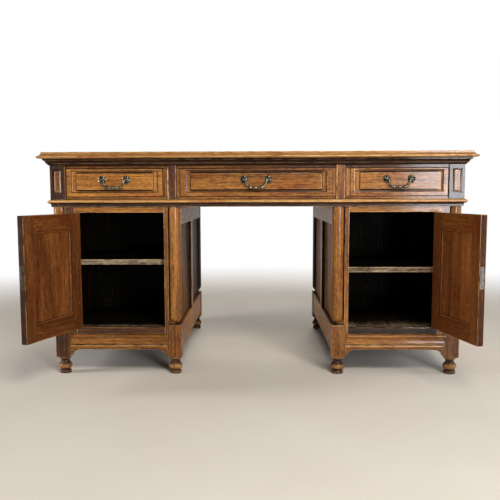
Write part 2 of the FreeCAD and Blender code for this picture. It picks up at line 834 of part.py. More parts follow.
def rounds(r, z0, z1):
    return turning([(r, z0), (r, z1)], V(PIN_X, PIN_Y, 0), V(0, 0, 1), 8)


def bore(r, place, axis, length, sides):
    """A many-sided hole that a pin of radius r turns in."""
    reach = (r + PIN_FIT) / math.cos(math.pi / sides)
    return turning([(reach, 0), (reach, length)], place, axis, sides)


def hinge_envelopes():
    return [rounds(KNUCKLE_CLEAR, z, z + LEAF_L) for z in HINGE_Z]


def fixed_leaves():
    """The halves of the two butt hinges on the right pedestal's stile, with their pins."""
    third = LEAF_L / 3
    leaves = []
    for z in HINGE_Z:
        leaf = box(OPEN_X1, OPEN_X1 + LEAF_T, PIN_Y, PIN_Y + LEAF_W, z, z + LEAF_L)
        leaf = leaf.cut(rounds(KNUCKLE_CLEAR, z + third, z + 2 * third))
        low = rounds(KNUCKLE_R, z, z + third)
        high = rounds(KNUCKLE_R, z + 2 * third, z + LEAF_L)
        pin = rounds(PIN_R, z, z + LEAF_L)
        leaves.append(leaf.fuse([low, high, pin]).removeSplitter())
    return leaves


def moving_leaves():
    """The halves on the door's edge."""
    third = LEAF_L / 3
    leaves = []
    for z in HINGE_Z:
        leaf = box(DOOR_X1 - LEAF_T, DOOR_X1, PIN_Y, PIN_Y + LEAF_W, z, z + LEAF_L)
        low = rounds(KNUCKLE_CLEAR, z, z + third + END_FIT)
        high = rounds(KNUCKLE_CLEAR, z + 2 * third - END_FIT, z + LEAF_L)
        leaf = leaf.cut([low, high])
        barrel = rounds(KNUCKLE_R, z + third + END_FIT, z + 2 * third - END_FIT)
        hole = bore(PIN_R, V(PIN_X, PIN_Y, z), V(0, 0, 1), LEAF_L, 8)
        leaf = leaf.fuse(barrel).cut(hole)
        leaves.append(leaf)
    return leaves


def door_lock():
    """Mortise lock in the free stile: a case inside the wood, with its plate flush in the edge."""
    ear = 6.0
    case_x = DOOR_X0 + LOCK_PLATE
    low = LOCK_Z + ear
    high = LOCK_Z + LOCK_H - ear
    y0 = FACE_Y + (DOOR_T - LOCK_T) / 2
    y1 = y0 + LOCK_T
    case = box(case_x, case_x + LOCK_W, y0 + 1, y1 - 1, low, high)
    plate = box(DOOR_X0, case_x, y0, y1, LOCK_Z, LOCK_Z + LOCK_H)
    return case.fuse(plate)


def door_panel():
    """Panel with a tongue all round, flat inside and bevelled up to a field outside."""
    thin = 7.0
    thick = 13.0
    step = 3.5
    quirk = 4.0
    half_x = (DOOR_X1 - HINGE_STILE - DOOR_X0 - DOOR_STILE) / 2
    half_z = (DOOR_Z1 - DOOR_Z0) / 2 - DOOR_RAIL
    x = (DOOR_X0 + DOOR_STILE + DOOR_X1 - HINGE_STILE) / 2
    z = (DOOR_Z0 + DOOR_Z1) / 2
    y = DOOR_BACK - PANEL_IN - thin
    bevel = 26.0
    raised = skin(
        [
            rectangle(half_x - quirk, half_z - quirk, x, y, z),
            rectangle(half_x - bevel, half_z - bevel, x, y - step, z),
        ]
    )
    field = box(
        x - half_x + bevel,
        x + half_x - bevel,
        y - (thick - thin),
        y - step,
        z - half_z + bevel,
        z + half_z - bevel,
    )
    slab = box(
        x - half_x - TONGUE,
        x + half_x + TONGUE,
        y,
        y + thin,
        z - half_z - TONGUE,
        z + half_z + TONGUE,
    )
    return slab.fuse([raised, field])


def door_frame():
    """Two stiles and two rails, grooved for the panel, recessed for the hinges and the lock."""
    y0 = FACE_Y
    y1 = DOOR_BACK
    inner0 = DOOR_X0 + DOOR_STILE
    inner1 = DOOR_X1 - HINGE_STILE
    free = box(DOOR_X0, inner0, y0, y1, DOOR_Z0, DOOR_Z1)
    hung = box(inner1, DOOR_X1, y0, y1, DOOR_Z0, DOOR_Z1)
    low = box(inner0, inner1, y0, y1, DOOR_Z0, DOOR_Z0 + DOOR_RAIL)
    high = box(inner0, inner1, y0, y1, DOOR_Z1 - DOOR_RAIL, DOOR_Z1)
    leaf_beds = [
        box(DOOR_X1 - LEAF_T, DOOR_X1, y0 - 1, PIN_Y + LEAF_W, z, z + LEAF_L)
        for z in HINGE_Z
    ]
    free = free.cut([door_lock(), door_panel()])
    hung = hung.cut(leaf_beds + hinge_envelopes() + [door_panel()])
    return [free, hung, low.cut(door_panel()), high.cut(door_panel())]


def swung(shape, side):
    """A piece of the right door, swung open, or of the left one, its mirror image."""
    copy = shape.copy()
    copy.rotate(V(PIN_X, PIN_Y, 0), V(0, 0, 1), DOOR_OPEN[side])
    return copy if side > 0 else left(copy)


# ---- drawers ---------------------------------------------------------------------------------


def field_z(z0, z1):
    """Middle of the raised field of a drawer in the opening z0..z1."""
    middle = (z0 + z1) / 2
    return middle + FIELD_UP if z0 == FRIEZE_Z0 else middle


def handle_z(z0, z1):
    return field_z(z0, z1) + HANDLE_UP


def drawer(x0, x1, z0, z1, face_y, side_margin):
    """A drawer that faces -Y in the opening x0..x1, z0..z1: moulded front, two sides, back and
    bottom."""
    fx0 = x0 + DRAWER_GAP
    fx1 = x1 - DRAWER_GAP
    fz0 = z0 + DRAWER_LIFT
    fz1 = z1 - DRAWER_GAP
    x = (x0 + x1) / 2
    z = field_z(z0, z1)
    front = box(fx0, fx1, face_y, face_y + FRONT_T, fz0, fz1)
    half_x = (x1 - x0) / 2 - side_margin
    half_z = (z1 - z0) / 2 - END_MARGIN
    channel = sunk_channel(half_x, half_z, SIDE_CHANNEL, END_CHANNEL)
    front = front.cut([upright(cut, x, face_y, z) for cut in channel]).removeSplitter()
    y0 = face_y + FRONT_T
    y1 = -PARTITION_T / 2 - BACK_GAP
    t = DRAWER_SIDE_T
    bottom_z = fz0 + 6
    side_top = fz1 - 8
    near = box(fx0, fx0 + t, y0, y1, fz0, side_top)
    far = box(fx1 - t, fx1, y0, y1, fz0, side_top)
    rear = box(fx0 + t, fx1 - t, y1 - t, y1, bottom_z + DRAWER_BOTTOM_T, side_top - 4)
    bottom = box(
        fx0 + t / 2, fx1 - t / 2, y0, y1, bottom_z, bottom_z + DRAWER_BOTTOM_T
    )
    near = near.cut(bottom)
    far = far.cut(bottom)
    return group(front, near, far, rear, bottom)


def lobed(scale, x, y, z):
    """The outline of a five-lobed rosette, at a share of its full size."""
    lobes = 5
    points = []
    for n in range(2 * lobes):
        r = scale * (ROSETTE_R if n % 2 == 0 else ROSETTE_R - 2.0)
        angle = math.pi * n / lobes
        points.append(V(x + r * math.cos(angle), y, z + r * math.sin(angle)))
    return points


def rosettes(x, y, z):
    """Two cast rosettes with the posts that carry the bail; y is the drawer's face."""
    parts = []
    for side in (-1, 1):
        px = x + side * HANDLE_HALF
        plate = skin([lobed(1, px, y, z), lobed(0.45, px, y - 5, z)])
        forward = V(0, -1, 0)
        stem = turning([(3.4, 4), (3.0, PIVOT_OUT - 2)], V(px, y, z), forward, 4)
        start = V(px - side * EYE_HALF, y - PIVOT_OUT, z)
        outward = V(side, 0, 0)
        eye = turning([(EYE_R, 0), (EYE_R, 2 * EYE_HALF)], start, outward, 6)
        hole = bore(BAIL_PIN_R, start, outward, 2 * EYE_HALF, 6)
        parts.append(plate.fuse([stem, eye]).cut(hole))
    return group(*parts)


def bail_ring(point, toward, r):
    """Corners of a six-sided section round a point, square to a direction in the XZ plane."""
    across = V(toward.z, 0, -toward.x)
    up = V(0, 1, 0)
    return [point + across * a + up * b for a, b in flat_sided(r, 6)]


def bail_arm(x, y, z, side):
    """One arm of the swan-necked bail, from its pivot to the middle."""
    # outwards from the middle, down from the pivot, and half the thickness of the casting there
    neck = HANDLE_HALF - EYE_HALF - END_FIT
    course = [
        (neck, 0.0, 2.5),
        (neck - 3.0, -1.4, 2.5),
        (neck - 10.6, -20.5, 2.8),
        (15.0, -28.5, 4.0),
        (8.0, -30.0, 3.0),
        (0.0, -32.4, 5.6),
    ]
    rings = []
    for n, (cx, cz, r) in enumerate(course):
        before = course[max(n - 1, 0)]
        after = course[min(n + 1, len(course) - 1)]
        toward = V(side * (after[0] - before[0]), 0, after[1] - before[1])
        if n in (0, len(course) - 1):
            toward = V(-side, 0, 0)
        toward.normalize()
        rings.append(bail_ring(V(x + side * cx, y, z + cz), toward, r))
    return skin(rings)


def bail(x, y, z):
    """y is the drawer's face. The ends are turned outwards into the posts' holes."""
    y -= PIVOT_OUT
    arms = []
    for side in (-1, 1):
        arm = bail_arm(x, y, z, side)
        neck = HANDLE_HALF - EYE_HALF - END_FIT
        start = V(x + side * (neck - 1), y, z)
        pin_end = 1 + END_FIT + 2 * EYE_HALF
        pin = turning([(BAIL_PIN_R, 0), (BAIL_PIN_R, pin_end)], start, V(side, 0, 0), 6)
        arms.append(arm.fuse(pin))
    return arms[0].fuse(arms[1]).removeSplitter()


# ---- assembly --------------------------------------------------------------------------------


def all_drawers():
    """Name, opening, face and side margin of every drawer, all drawn facing -Y; the ones whose name
    starts with back are turned to the other side afterwards."""
    frieze = (
        ("left", -SIDE_X1, -SIDE_X0, SIDE_MARGIN),
        ("mid", -CENTRE_HALF, CENTRE_HALF, WIDE_MARGIN),
        ("right", SIDE_X0, SIDE_X1, SIDE_MARGIN),
    )
    listed = []
    for side in ("front", "back"):
        for place, x0, x1, margin in frieze:
            name = side + "_frieze_" + place
            listed.append((name, x0, x1, FRIEZE_Z0, FRIEZE_Z1, FRIEZE_FACE, margin))
    for level, (z0, z1) in zip(("low", "mid", "top"), drawer_levels()):
        for place, x0, x1 in (("left", -OPEN_X1, -OPEN_X0), ("right", OPEN_X0, OPEN_X1)):
            name = "back_" + place + "_" + level
            listed.append((name, x0, x1, z0, z1, PEDESTAL_FACE, SIDE_MARGIN))
    return listed


def assembly():
    nodes = {
        "top_border": top_border(),
        "top_core": top_core(),
        "top_leather": top_leather(),
        "cornice": cornice(),
        "frieze_frame": frieze_frame(),
        "frieze_blocks": frieze_blocks(),
        "frieze_boards": frieze_boards(),
        "waist_moulding": waist_moulding(),
        "posts": posts(),
        "feet": feet(),
        "runners": runners(),
        "shelves": group(shelf(-1), shelf(1)),
    }

    def both_pedestals(pieces):
        return group(*pieces, *[left(piece) for piece in pieces])

    nodes["side_frames"] = both_pedestals(side_frames())
    nodes["side_panels"] = both_pedestals(side_panel_boxes())
    nodes["pedestal_boards"] = both_pedestals(pedestal_boards())
    bases = plinth()
    nodes["plinths"] = both_pedestals(bases + [back(piece) for piece in bases])

    front_frame = face_frame()
    front_frame[1] = front_frame[1].cut(fixed_leaves() + hinge_envelopes())
    rear_frame = [back(piece) for piece in face_frame()]
    nodes["face_frames"] = both_pedestals(front_frame + rear_frame + drawer_rails())
    nodes["hinge_leaves"] = both_pedestals(fixed_leaves())

    for side, name in ((-1, "door_left"), (1, "door_right")):
        nodes[name + "_frame"] = group(*[swung(one, side) for one in door_frame()])
        nodes[name + "_panel"] = swung(door_panel(), side)
        brass = moving_leaves() + [door_lock()]
        nodes[name + "_brass"] = group(*[swung(one, side) for one in brass])

    for name, x0, x1, z0, z1, face_y, margin in all_drawers():
        x = (x0 + x1) / 2
        z = handle_z(z0, z1)
        pieces = {
            "drawer": drawer(x0, x1, z0, z1, face_y, margin),
            "rosettes": rosettes(x, face_y, z),
            "bail": bail(x, face_y, z),
        }
        for kind, shape in pieces.items():
            if name.startswith("back"):
                shape = turned(shape)
            nodes[name + "_" + kind] = shape
    return nodes


NODES = assembly()
COVERED = Part.makeCompound(list(NODES.values())).BoundBox
SHIFT_Y = -(COVERED.YMin + COVERED.YMax) / 2

os.makedirs("parts", exist_ok=True)
for node, solid in NODES.items():
    placed = solid.copy()
    placed.translate(V(0, SHIFT_Y, 0))
    placed.exportStep("parts/" + node + ".step")
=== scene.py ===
import json
import math
import random

import bmesh
import bpy
from mathutils import Matrix, Vector

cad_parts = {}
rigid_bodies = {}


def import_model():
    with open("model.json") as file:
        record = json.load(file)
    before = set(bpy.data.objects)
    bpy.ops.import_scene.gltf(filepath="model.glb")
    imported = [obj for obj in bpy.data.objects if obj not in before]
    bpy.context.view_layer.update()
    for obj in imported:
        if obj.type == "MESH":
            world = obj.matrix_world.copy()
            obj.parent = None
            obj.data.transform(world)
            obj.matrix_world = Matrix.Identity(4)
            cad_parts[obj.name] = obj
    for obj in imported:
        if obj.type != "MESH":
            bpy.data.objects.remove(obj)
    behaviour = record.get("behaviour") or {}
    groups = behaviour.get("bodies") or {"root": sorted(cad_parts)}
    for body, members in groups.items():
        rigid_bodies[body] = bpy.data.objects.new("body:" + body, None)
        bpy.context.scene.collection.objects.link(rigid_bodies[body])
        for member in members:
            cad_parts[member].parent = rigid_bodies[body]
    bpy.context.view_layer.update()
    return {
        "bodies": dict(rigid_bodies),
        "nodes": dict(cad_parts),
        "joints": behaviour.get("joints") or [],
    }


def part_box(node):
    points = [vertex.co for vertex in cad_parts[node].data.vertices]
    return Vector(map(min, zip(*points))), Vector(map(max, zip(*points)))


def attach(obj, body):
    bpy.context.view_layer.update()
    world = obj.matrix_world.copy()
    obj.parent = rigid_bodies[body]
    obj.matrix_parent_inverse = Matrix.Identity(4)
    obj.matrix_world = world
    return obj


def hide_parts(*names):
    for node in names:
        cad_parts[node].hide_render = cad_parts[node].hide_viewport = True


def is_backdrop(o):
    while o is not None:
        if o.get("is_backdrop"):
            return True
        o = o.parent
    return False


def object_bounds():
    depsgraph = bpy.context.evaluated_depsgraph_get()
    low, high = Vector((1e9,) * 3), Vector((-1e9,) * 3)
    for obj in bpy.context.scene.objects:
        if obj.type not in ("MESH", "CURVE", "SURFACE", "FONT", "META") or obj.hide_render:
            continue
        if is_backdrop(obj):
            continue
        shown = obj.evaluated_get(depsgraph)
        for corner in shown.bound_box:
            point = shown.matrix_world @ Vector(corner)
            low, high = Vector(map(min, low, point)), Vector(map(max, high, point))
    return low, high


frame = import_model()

# ---- Floor, light and camera ----
# A pale studio floor that runs out into white, soft lights over the front and the back of the desk,
# windows in front and at both sides, and the camera low down in front of the kneehole.

EYE = Vector((0.007, -2.6986, 0.6341))
TURNED, TIPPED, ROLLED = 0.0225, 0.1058, 0.0032  # radians: to the left, down, clockwise


def placed(name, data):
    """A new object, put into the scene."""
    made = bpy.data.objects.new(name, data)
    bpy.context.scene.collection.objects.link(made)
    return made


camera_data = bpy.data.cameras.new("camera")
camera_data.lens = 49.63
camera_data.sensor_width = 36.0
camera_data.shift_x = 0.0144
camera_data.shift_y = 0.0352
camera = placed("camera", camera_data)
upright = Matrix.Rotation(TURNED, 4, "Z") @ Matrix.Rotation(math.pi / 2 - TIPPED, 4, "X")
camera.matrix_world = Matrix.Translation(EYE) @ upright @ Matrix.Rotation(-ROLLED, 4, "Z")
bpy.context.scene.camera = camera
bpy.context.scene.view_settings.view_transform = "Standard"


def maths(operation, reflected=False):
    """An operator between signals and numbers, which becomes a Math node."""

    def apply(signal, other=0.0):
        first, second = (other, signal) if reflected else (signal, other)
        return signal.finish.node("Math", {"operation": operation}, {0: first, 1: second})

    return apply


class Signal:
    """What comes out of a shader node. Sums and products with it become Math nodes."""

    __add__, __radd__ = maths("ADD"), maths("ADD", True)
    __sub__, __rsub__ = maths("SUBTRACT"), maths("SUBTRACT", True)
    __mul__, __rmul__ = maths("MULTIPLY"), maths("MULTIPLY", True)
    __truediv__, __rtruediv__ = maths("DIVIDE"), maths("DIVIDE", True)
    __abs__ = maths("ABSOLUTE")

    def __init__(self, finish, socket):
        self.finish = finish
        self.socket = socket

    def between(self, low, high):
        """0 below low, 1 above high, and smooth in between; the other way round if low > high."""
        settings = {"interpolation_type": "SMOOTHSTEP"}
        if low > high:
            return 1 - self.between(high, low)
        return self.finish.node("MapRange", settings, {0: self, 1: low, 2: high})


class Finish:
    """A material in the making."""

    def __init__(self, name):
        self.material = bpy.data.materials.new(name)
        self.material.use_nodes = True
        self.tree = self.material.node_tree
        self.tree.nodes.clear()

    def node(self, kind, settings=None, inputs=None, out=0):
        """Adds any node: its settings first, then the values or links of its sockets."""
        made = self.tree.nodes.new("ShaderNode" + kind)
        for name, value in (settings or {}).items():
            if name == "stops":
                stops = made.color_ramp.elements
                while len(stops) < len(value):
                    stops.new(0.5)
                for stop, (place, colour) in zip(stops, value):
                    stop.position = place
                    stop.color = (*colour, 1)
            else:
                setattr(made, name, value)
        for key, value in (inputs or {}).items():
            if isinstance(value, Signal):
                self.tree.links.new(value.socket, made.inputs[key])
            else:
                made.inputs[key].default_value = value
        return Signal(self, made.outputs[out]) if made.outputs else None

    def mix(self, share, first, second):
        return self.node("Mix", {"data_type": "RGBA"}, {0: share, 6: first, 7: second}, 2)

    def noise(self, place, detail=3.0, roughness=0.55, scale=1.0):
        inputs = {"Vector": place, "Scale": scale, "Detail": detail, "Roughness": roughness}
        return self.node("TexNoise", {}, inputs)

    def stretched(self, place, x, y, z):
        return self.node("VectorMath", {"operation": "MULTIPLY"}, {0: place, 1: (x, y, z)})

    def length(self, vector):
        return self.node("VectorMath", {"operation": "LENGTH"}, {0: vector}, 1)

    def parts(self, vector):
        """The three parts of a vector, each a signal."""
        split = self.node("SeparateXYZ", {}, {0: vector})
        return [Signal(self, socket) for socket in split.socket.node.outputs]

    def open_to(self, reach):
        """1 on an open face and less in a corner that is closed within this reach."""
        return self.node("AmbientOcclusion", {"samples": 6}, {"Distance": reach}, 1)

    def bump(self, height, distance):
        return self.node("Bump", {}, {"Height": height, "Distance": distance})

    def done(self, shader):
        self.node("OutputMaterial", {}, {"Surface": shader})
        return self.material


WHITE = (1, 1, 1, 1)
WHITE_FROM, WHITE_TO = 1.5, 3.6  # from the desk's middle, where the floor begins to glow and is white


def floor_finish():
    """Pale and matt near the desk; further out it glows white, as a lit wall would."""
    finish = Finish("studio_floor")
    place = finish.node("TexCoord", out=3)
    cloud = finish.noise(place, 4.0, 0.6, 2.2)
    colour = finish.mix(cloud, (0.66, 0.60, 0.52, 1), (0.76, 0.71, 0.64, 1))
    normal = finish.bump(finish.noise(place, 6.0, 0.7, 90.0), 0.0006)
    matt = finish.node("BsdfPrincipled", {}, {"Base Color": colour, "Roughness": 0.6, "Normal": normal})
    glow = finish.node("Emission", {}, {"Color": WHITE, "Strength": 1.0})
    share = finish.length(place).between(WHITE_FROM, WHITE_TO)
    return finish.done(finish.node("MixShader", {}, {0: share, 1: matt, 2: glow}))


def turns_of(count):
    """Angles of equally many steps round a full turn."""
    return [2 * math.pi * n / count for n in range(count)]


FLOOR_R = 40.0
FLOOR_SIDES = 96
floor_mesh = bpy.data.meshes.new("floor")
rim = [(FLOOR_R * math.cos(t), FLOOR_R * math.sin(t), 0) for t in turns_of(FLOOR_SIDES)]
floor_mesh.from_pydata(rim, [], [range(FLOOR_SIDES)])
floor_mesh.materials.append(floor_finish())
floor = placed("floor", floor_mesh)
floor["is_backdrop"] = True

# The room is white to look at, and gives only a faint light of its own.
ROOM_LIGHT = 0.085
world = bpy.data.worlds.new("studio")
bpy.context.scene.world = world
world.use_nodes = True
nodes, links = world.node_tree.nodes, world.node_tree.links
lit, seen = nodes["Background"], nodes.new("ShaderNodeBackground")
for sky, strength in ((lit, ROOM_LIGHT), (seen, 1.0)):
    sky.inputs["Color"].default_value = WHITE
    sky.inputs["Strength"].default_value = strength
ray, choose = nodes.new("ShaderNodeLightPath"), nodes.new("ShaderNodeMixShader")
links.new(ray.outputs["Is Camera Ray"], choose.inputs[0])
links.new(lit.outputs[0], choose.inputs[1])
links.new(seen.outputs[0], choose.inputs[2])
links.new(choose.outputs[0], nodes["World Output"].inputs[0])


def softbox(name, place, aim, wide, high, power, colour):
    """A rectangular light at a place, turned to the point that it lights."""
    data = bpy.data.lights.new(name, "AREA")
    data.shape = "RECTANGLE"
    data.size = wide
    data.size_y = high
    data.energy = power
    data.color = colour
    lamp = placed(name, data)
    lamp.location = place
    lamp.rotation_euler = (Vector(aim) - Vector(place)).to_track_quat("-Z", "Y").to_euler()


softbox("over_front", (0.9, -2.9, 2.5), (0.1, 0, 0.5), 1.7, 0.9, 86, (1.0, 0.94, 0.84))
softbox("front_window", (2.0, -4.6, 0.90), (0.5, 0, 0.6), 1.0, 1.3, 155, (0.86, 0.92, 1.0))
softbox("right_window", (3.0, -0.55, 0.95), (0.2, 0, 0.5), 1.6, 1.0, 36, (0.90, 0.94, 1.0))
softbox("left_window", (-3.3, -0.9, 1.2), (-0.3, 0, 0.4), 0.7, 1.7, 70, (0.98, 0.98, 1.0))
softbox("over_back", (0.2, 3.3, 2.6), (0, 0.8, 0.1), 1.7, 0.9, 50, (1.0, 0.96, 0.90))

# ---- Turned feet ----
# Eight oak feet turned on the lathe: a disc on the floor, a bun, a hollow neck and a collar. A pin
# on top of each is glued into the foot block of its post. The oak finish of the desk starts here.

PITH = (0.11, 0.16)  # the middle of the growth rings, beside and behind a board
RING_PITCH = 230  # growth rings to a metre
GRAIN_DEPTH = 0.0004
DUST_AND_SHADE_COLOUR = (0.005, 0.003, 0.002, 1)
RUBBED_COLOUR = (0.66, 0.42, 0.18, 1)
KNOCKED_COLOUR = (0.60, 0.50, 0.38, 1)


def oak(name, shades, gloss, grime_and_shade, polish=1.0, boards=0.0, chips=0.0):
    """Stained and polished oak. The grain runs along each board; tone says how dark a board took
    the stain, and also carries painted light and shade; arrises are rubbed pale, and corners are
    darkened by old wax and dust together with painted shade. polish is how much wax lies on it,
    boards the width of the strips that a wide panel was glued up from, and chips how much of it has
    small knocks that show the bare wood."""
    finish = Finish(name)
    grain = finish.node("Attribute", {"attribute_name": "grain"}, out=1)
    tone, worn = (finish.node("Attribute", {"attribute_name": name}, out=2) for name in ("tone", "worn"))

    def figured(along, across, deep, detail, roughness=0.55):
        """Figure of so many marks to a metre along a board, across it and through it."""
        return finish.noise(finish.stretched(grain, along, across, deep), detail, roughness)

    _, across, deep = finish.parts(grain)
    drift = figured(1.7, 9, 9, 3.0)
    radius = finish.length(finish.node("CombineXYZ", {}, {0: across + PITH[0], 1: deep + PITH[1], 2: 0.0}))
    ring_inputs = {"W": (radius + drift * 0.05) * RING_PITCH, "Detail": 2.0}
    rings = finish.node("TexNoise", {"noise_dimensions": "1D"}, ring_inputs)
    streaks = figured(6, 240, 240, 4.0, 0.64)
    cloud = figured(2.6, 14, 14, 3.0, 0.6)
    pore = figured(26, 1250, 1250, 2.0).between(0.50, 0.62)
    flake = figured(70, 24, 260, 2.0).between(0.62, 0.70)
    mottle = figured(70, 230, 230, 3.0, 0.6)
    figure = (rings - 0.5) * 0.28 + (streaks - 0.5) * 0.62 + (cloud - 0.5) * 0.42 + (mottle - 0.5) * 0.52
    depth = 0.5 + tone + figure + flake * 0.06 - pore * 0.17
    if boards:
        strip = finish.node("Math", {"operation": "FLOOR"}, {0: across / boards + drift * 0.15})
        strip_tone = finish.node("TexWhiteNoise", {"noise_dimensions": "1D"}, {"W": strip})
        depth = depth + (strip_tone - 0.5) * 0.24
    rubbed = worn * figured(30, 60, 60, 2.0).between(0.34, 0.58)
    # Painted shade: ambient occlusion darkens corners and quirks, mixed with the dust that lies there.
    in_corners = finish.open_to(0.016).between(0.90, 0.38)
    in_quirks = finish.open_to(0.0065).between(0.92, 0.50)
    dust_and_shade = finish.node("Math", {"operation": "MINIMUM"}, {0: (in_corners + in_quirks) * 0.8, 1: 1.0})
    colour = finish.node("ValToRGB", {"stops": shades}, {0: depth + rubbed * 0.30})
    russet = figured(6, 22, 22, 2.0).between(0.48, 0.70)
    reddened = {0: russet * 0.8, 6: colour, 7: (0.86, 0.62, 0.50, 1)}
    colour = finish.node("Mix", {"data_type": "RGBA", "blend_type": "MULTIPLY"}, reddened, 2)
    colour = finish.mix(dust_and_shade * grime_and_shade, colour, DUST_AND_SHADE_COLOUR)
    colour = finish.mix(rubbed * 0.55, colour, RUBBED_COLOUR)
    if chips:
        knock = finish.node("TexVoronoi", {}, {"Vector": grain, "Scale": 21.0}) + (mottle - 0.5) * 0.06
        struck = finish.noise(grain, 1.0, 0.5, 17.0).between(0.60 - chips, 0.62 - chips)
        colour = finish.mix(knock.between(0.042, 0.030) * struck, colour, KNOCKED_COLOUR)
    rough = gloss + pore * 0.10 + (streaks - 0.5) * 0.12 + (cloud - 0.5) * 0.20 + dust_and_shade * 0.25
    inputs = {
        "Base Color": colour,
        "Roughness": rough - rubbed * 0.14,
        "Normal": finish.bump(streaks * 0.4 - pore * 0.6 + rings * 0.15, GRAIN_DEPTH),
        "Coat Weight": (rubbed * 1.2 + 0.26) * polish,
        "Coat Roughness": 0.12,
        "Specular IOR Level": 0.14 * polish,
    }
    return finish.done(finish.node("BsdfPrincipled", {}, inputs))


POLISHED = (
    (0.0, (0.010, 0.003, 0.001)),
    (0.30, (0.085, 0.027, 0.005)),
    (0.55, (0.300, 0.115, 0.017)),
    (0.78, (0.520, 0.232, 0.045)),
    (1.0, (0.740, 0.440, 0.150)),
)
polished_oak = oak("polished_oak", POLISHED, 0.34, 0.9)
HANDLED = (
    (0.0, (0.012, 0.005, 0.002)),
    (0.30, (0.090, 0.034, 0.009)),
    (0.55, (0.290, 0.132, 0.034)),
    (0.78, (0.510, 0.270, 0.088)),
    (1.0, (0.760, 0.510, 0.240)),
)
handled_oak = oak("handled_oak", HANDLED, 0.33, 0.9)  # paler and less red where hands and feet reach


def solids_of(node):
    """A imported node's closed solids, each a list of faces, each face a list of points."""
    mesh = frame["nodes"][node].data
    solids, faces, loose = [], [], set()
    for polygon in mesh.polygons:
        points = [mesh.vertices[v].co.copy() for v in polygon.vertices]
        faces.append(points)
        keys = [tuple(round(c, 5) for c in point) for point in points]
        for edge in zip(keys, keys[1:] + keys[:1]):
            if edge[::-1] in loose:
                loose.remove(edge[::-1])
            else:
                loose.add(edge)
        if not loose:
            solids.append(faces)
            faces = []
    return solids


def corners_of(faces):
    """The least and the greatest corner of the box round some faces."""
    points = [point for face in faces for point in face]
    return [Vector([pick(point[n] for point in points) for n in range(3)]) for pick in (min, max)]


SHARP = 0.6  # radians: an edge that turns more than this is an arris


class Work:
    """Boards or castings put together into one piece. Each keeps its own run of grain and its own
    tone, and its outer arrises are eased and marked as worn. swing lays what belongs to a door back
    in its closed place while it is worked."""

    def __init__(self, swing=None):
        self.swing = swing or Matrix.Identity(4)
        self.points, self.faces = [], []
        self.grain, self.tone, self.worn = [], [], []

    def add(
        self, faces, along=None, tone=0.0, varied=0.06, arris=0.0006, eases=None, rubs=1.0, tint=None, cuts=()
    ):
        """along is the axis of the grain, 0 to 2, or the board's longest. arris is how far the
        edges are eased, eases says whether the edge between two points is, and rubs is how much an
        eased edge is rubbed, or says it for a point. tint says how much paler the wood is at a
        point, and cuts are places, each an axis and a value, where it may change."""
        board = bmesh.new()
        corners = {}
        for points in faces:
            loop = []
            for point in points:
                moved = self.swing @ Vector(point)
                key = tuple(round(c, 5) for c in moved)
                if key not in corners:
                    corners[key] = board.verts.new(moved)
                if corners[key] not in loop:
                    loop.append(corners[key])
            if len(loop) > 2:
                board.faces.new(loop)
        bmesh.ops.recalc_face_normals(board, faces=board.faces)
        bmesh.ops.dissolve_limit(board, angle_limit=0.012, verts=board.verts, edges=board.edges)
        low, high = corners_of([[vert.co for vert in board.verts]])
        size = high - low
        if along is None:
            along = max(range(3), key=lambda n: size[n])
        sharp = [e for e in board.edges if e.is_convex and e.calc_face_angle(0) > SHARP]
        if eases:
            sharp = [edge for edge in sharp if eases(edge.verts[0].co, edge.verts[1].co)]
        eased = set()
        if arris and sharp:
            shape = {"segments": 2, "profile": 0.6, "affect": "EDGES", "clamp_overlap": True}
            eased = set(bmesh.ops.bevel(board, geom=sharp, offset=arris, **shape)["faces"])
        for axis, place in cuts:
            whole = [*board.verts, *board.edges, *board.faces]
            normal = Vector([float(n == axis) for n in range(3)])
            bmesh.ops.bisect_plane(board, geom=whole, plane_co=normal * place, plane_no=normal)
        middle = (low + high) / 2
        chance = random.Random(str([round(c, 3) for c in middle]))
        shift = Vector([chance.uniform(-0.5, 0.5) for _ in range(3)]) * 0.6
        shade = tone + chance.uniform(-varied, varied)
        order = (along, (along + 1) % 3, (along + 2) % 3)
        back = self.swing.inverted()
        first = len(self.points)
        verts, sides = list(board.verts), list(board.faces)
        if cuts:  # a cut leaves them in no set order
            verts.sort(key=lambda vert: vert.co[:])
            sides.sort(key=lambda side: side.calc_center_median()[:])
        numbers = {vert: first + n for n, vert in enumerate(verts)}
        for vert in verts:
            self.points.append(back @ vert.co)
            self.grain += [vert.co[n] + shift[k] for k, n in enumerate(order)]
            self.tone.append(shade + (tint(vert.co) if tint else 0.0))
        for side in sides:
            self.faces.append([numbers[vert] for vert in side.verts])
            wear = rubs(side.calc_center_median()) if callable(rubs) else rubs
            self.worn.append(wear if side in eased else 0.0)
        board.free()

    def made(self, name, material, body, slot, *nodes):
        """Puts the finished piece on its body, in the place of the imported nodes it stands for."""
        mesh = bpy.data.meshes.new(name)
        mesh.from_pydata(self.points, [], self.faces)
        grain = mesh.attributes.new("grain", "FLOAT_VECTOR", "POINT")
        grain.data.foreach_set("vector", self.grain)
        mesh.attributes.new("tone", "FLOAT", "POINT").data.foreach_set("value", self.tone)
        mesh.attributes.new("worn", "FLOAT", "FACE").data.foreach_set("value", self.worn)
        mesh.materials.append(material)
        mesh.shade_smooth()
        mesh.set_sharp_from_angle(angle=math.radians(38))
        piece = placed(name, mesh)
        piece.modifiers.new("evened", "WEIGHTED_NORMAL").keep_sharp = True
        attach(piece, body)
        if nodes:
            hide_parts(*nodes)


def lofted(rings, endless=False):
    """Faces through rings that have equally many points, closed at both ends or joined to a loop."""
    faces = [] if endless else [list(rings[0]), list(rings[-1])]
    for low, high in zip(rings, rings[1:] + (rings[:1] if endless else [])):
        for n in range(len(low)):
            after = (n + 1) % len(low)
            faces.append([low[n], low[after], high[after], high[n]])
    return faces


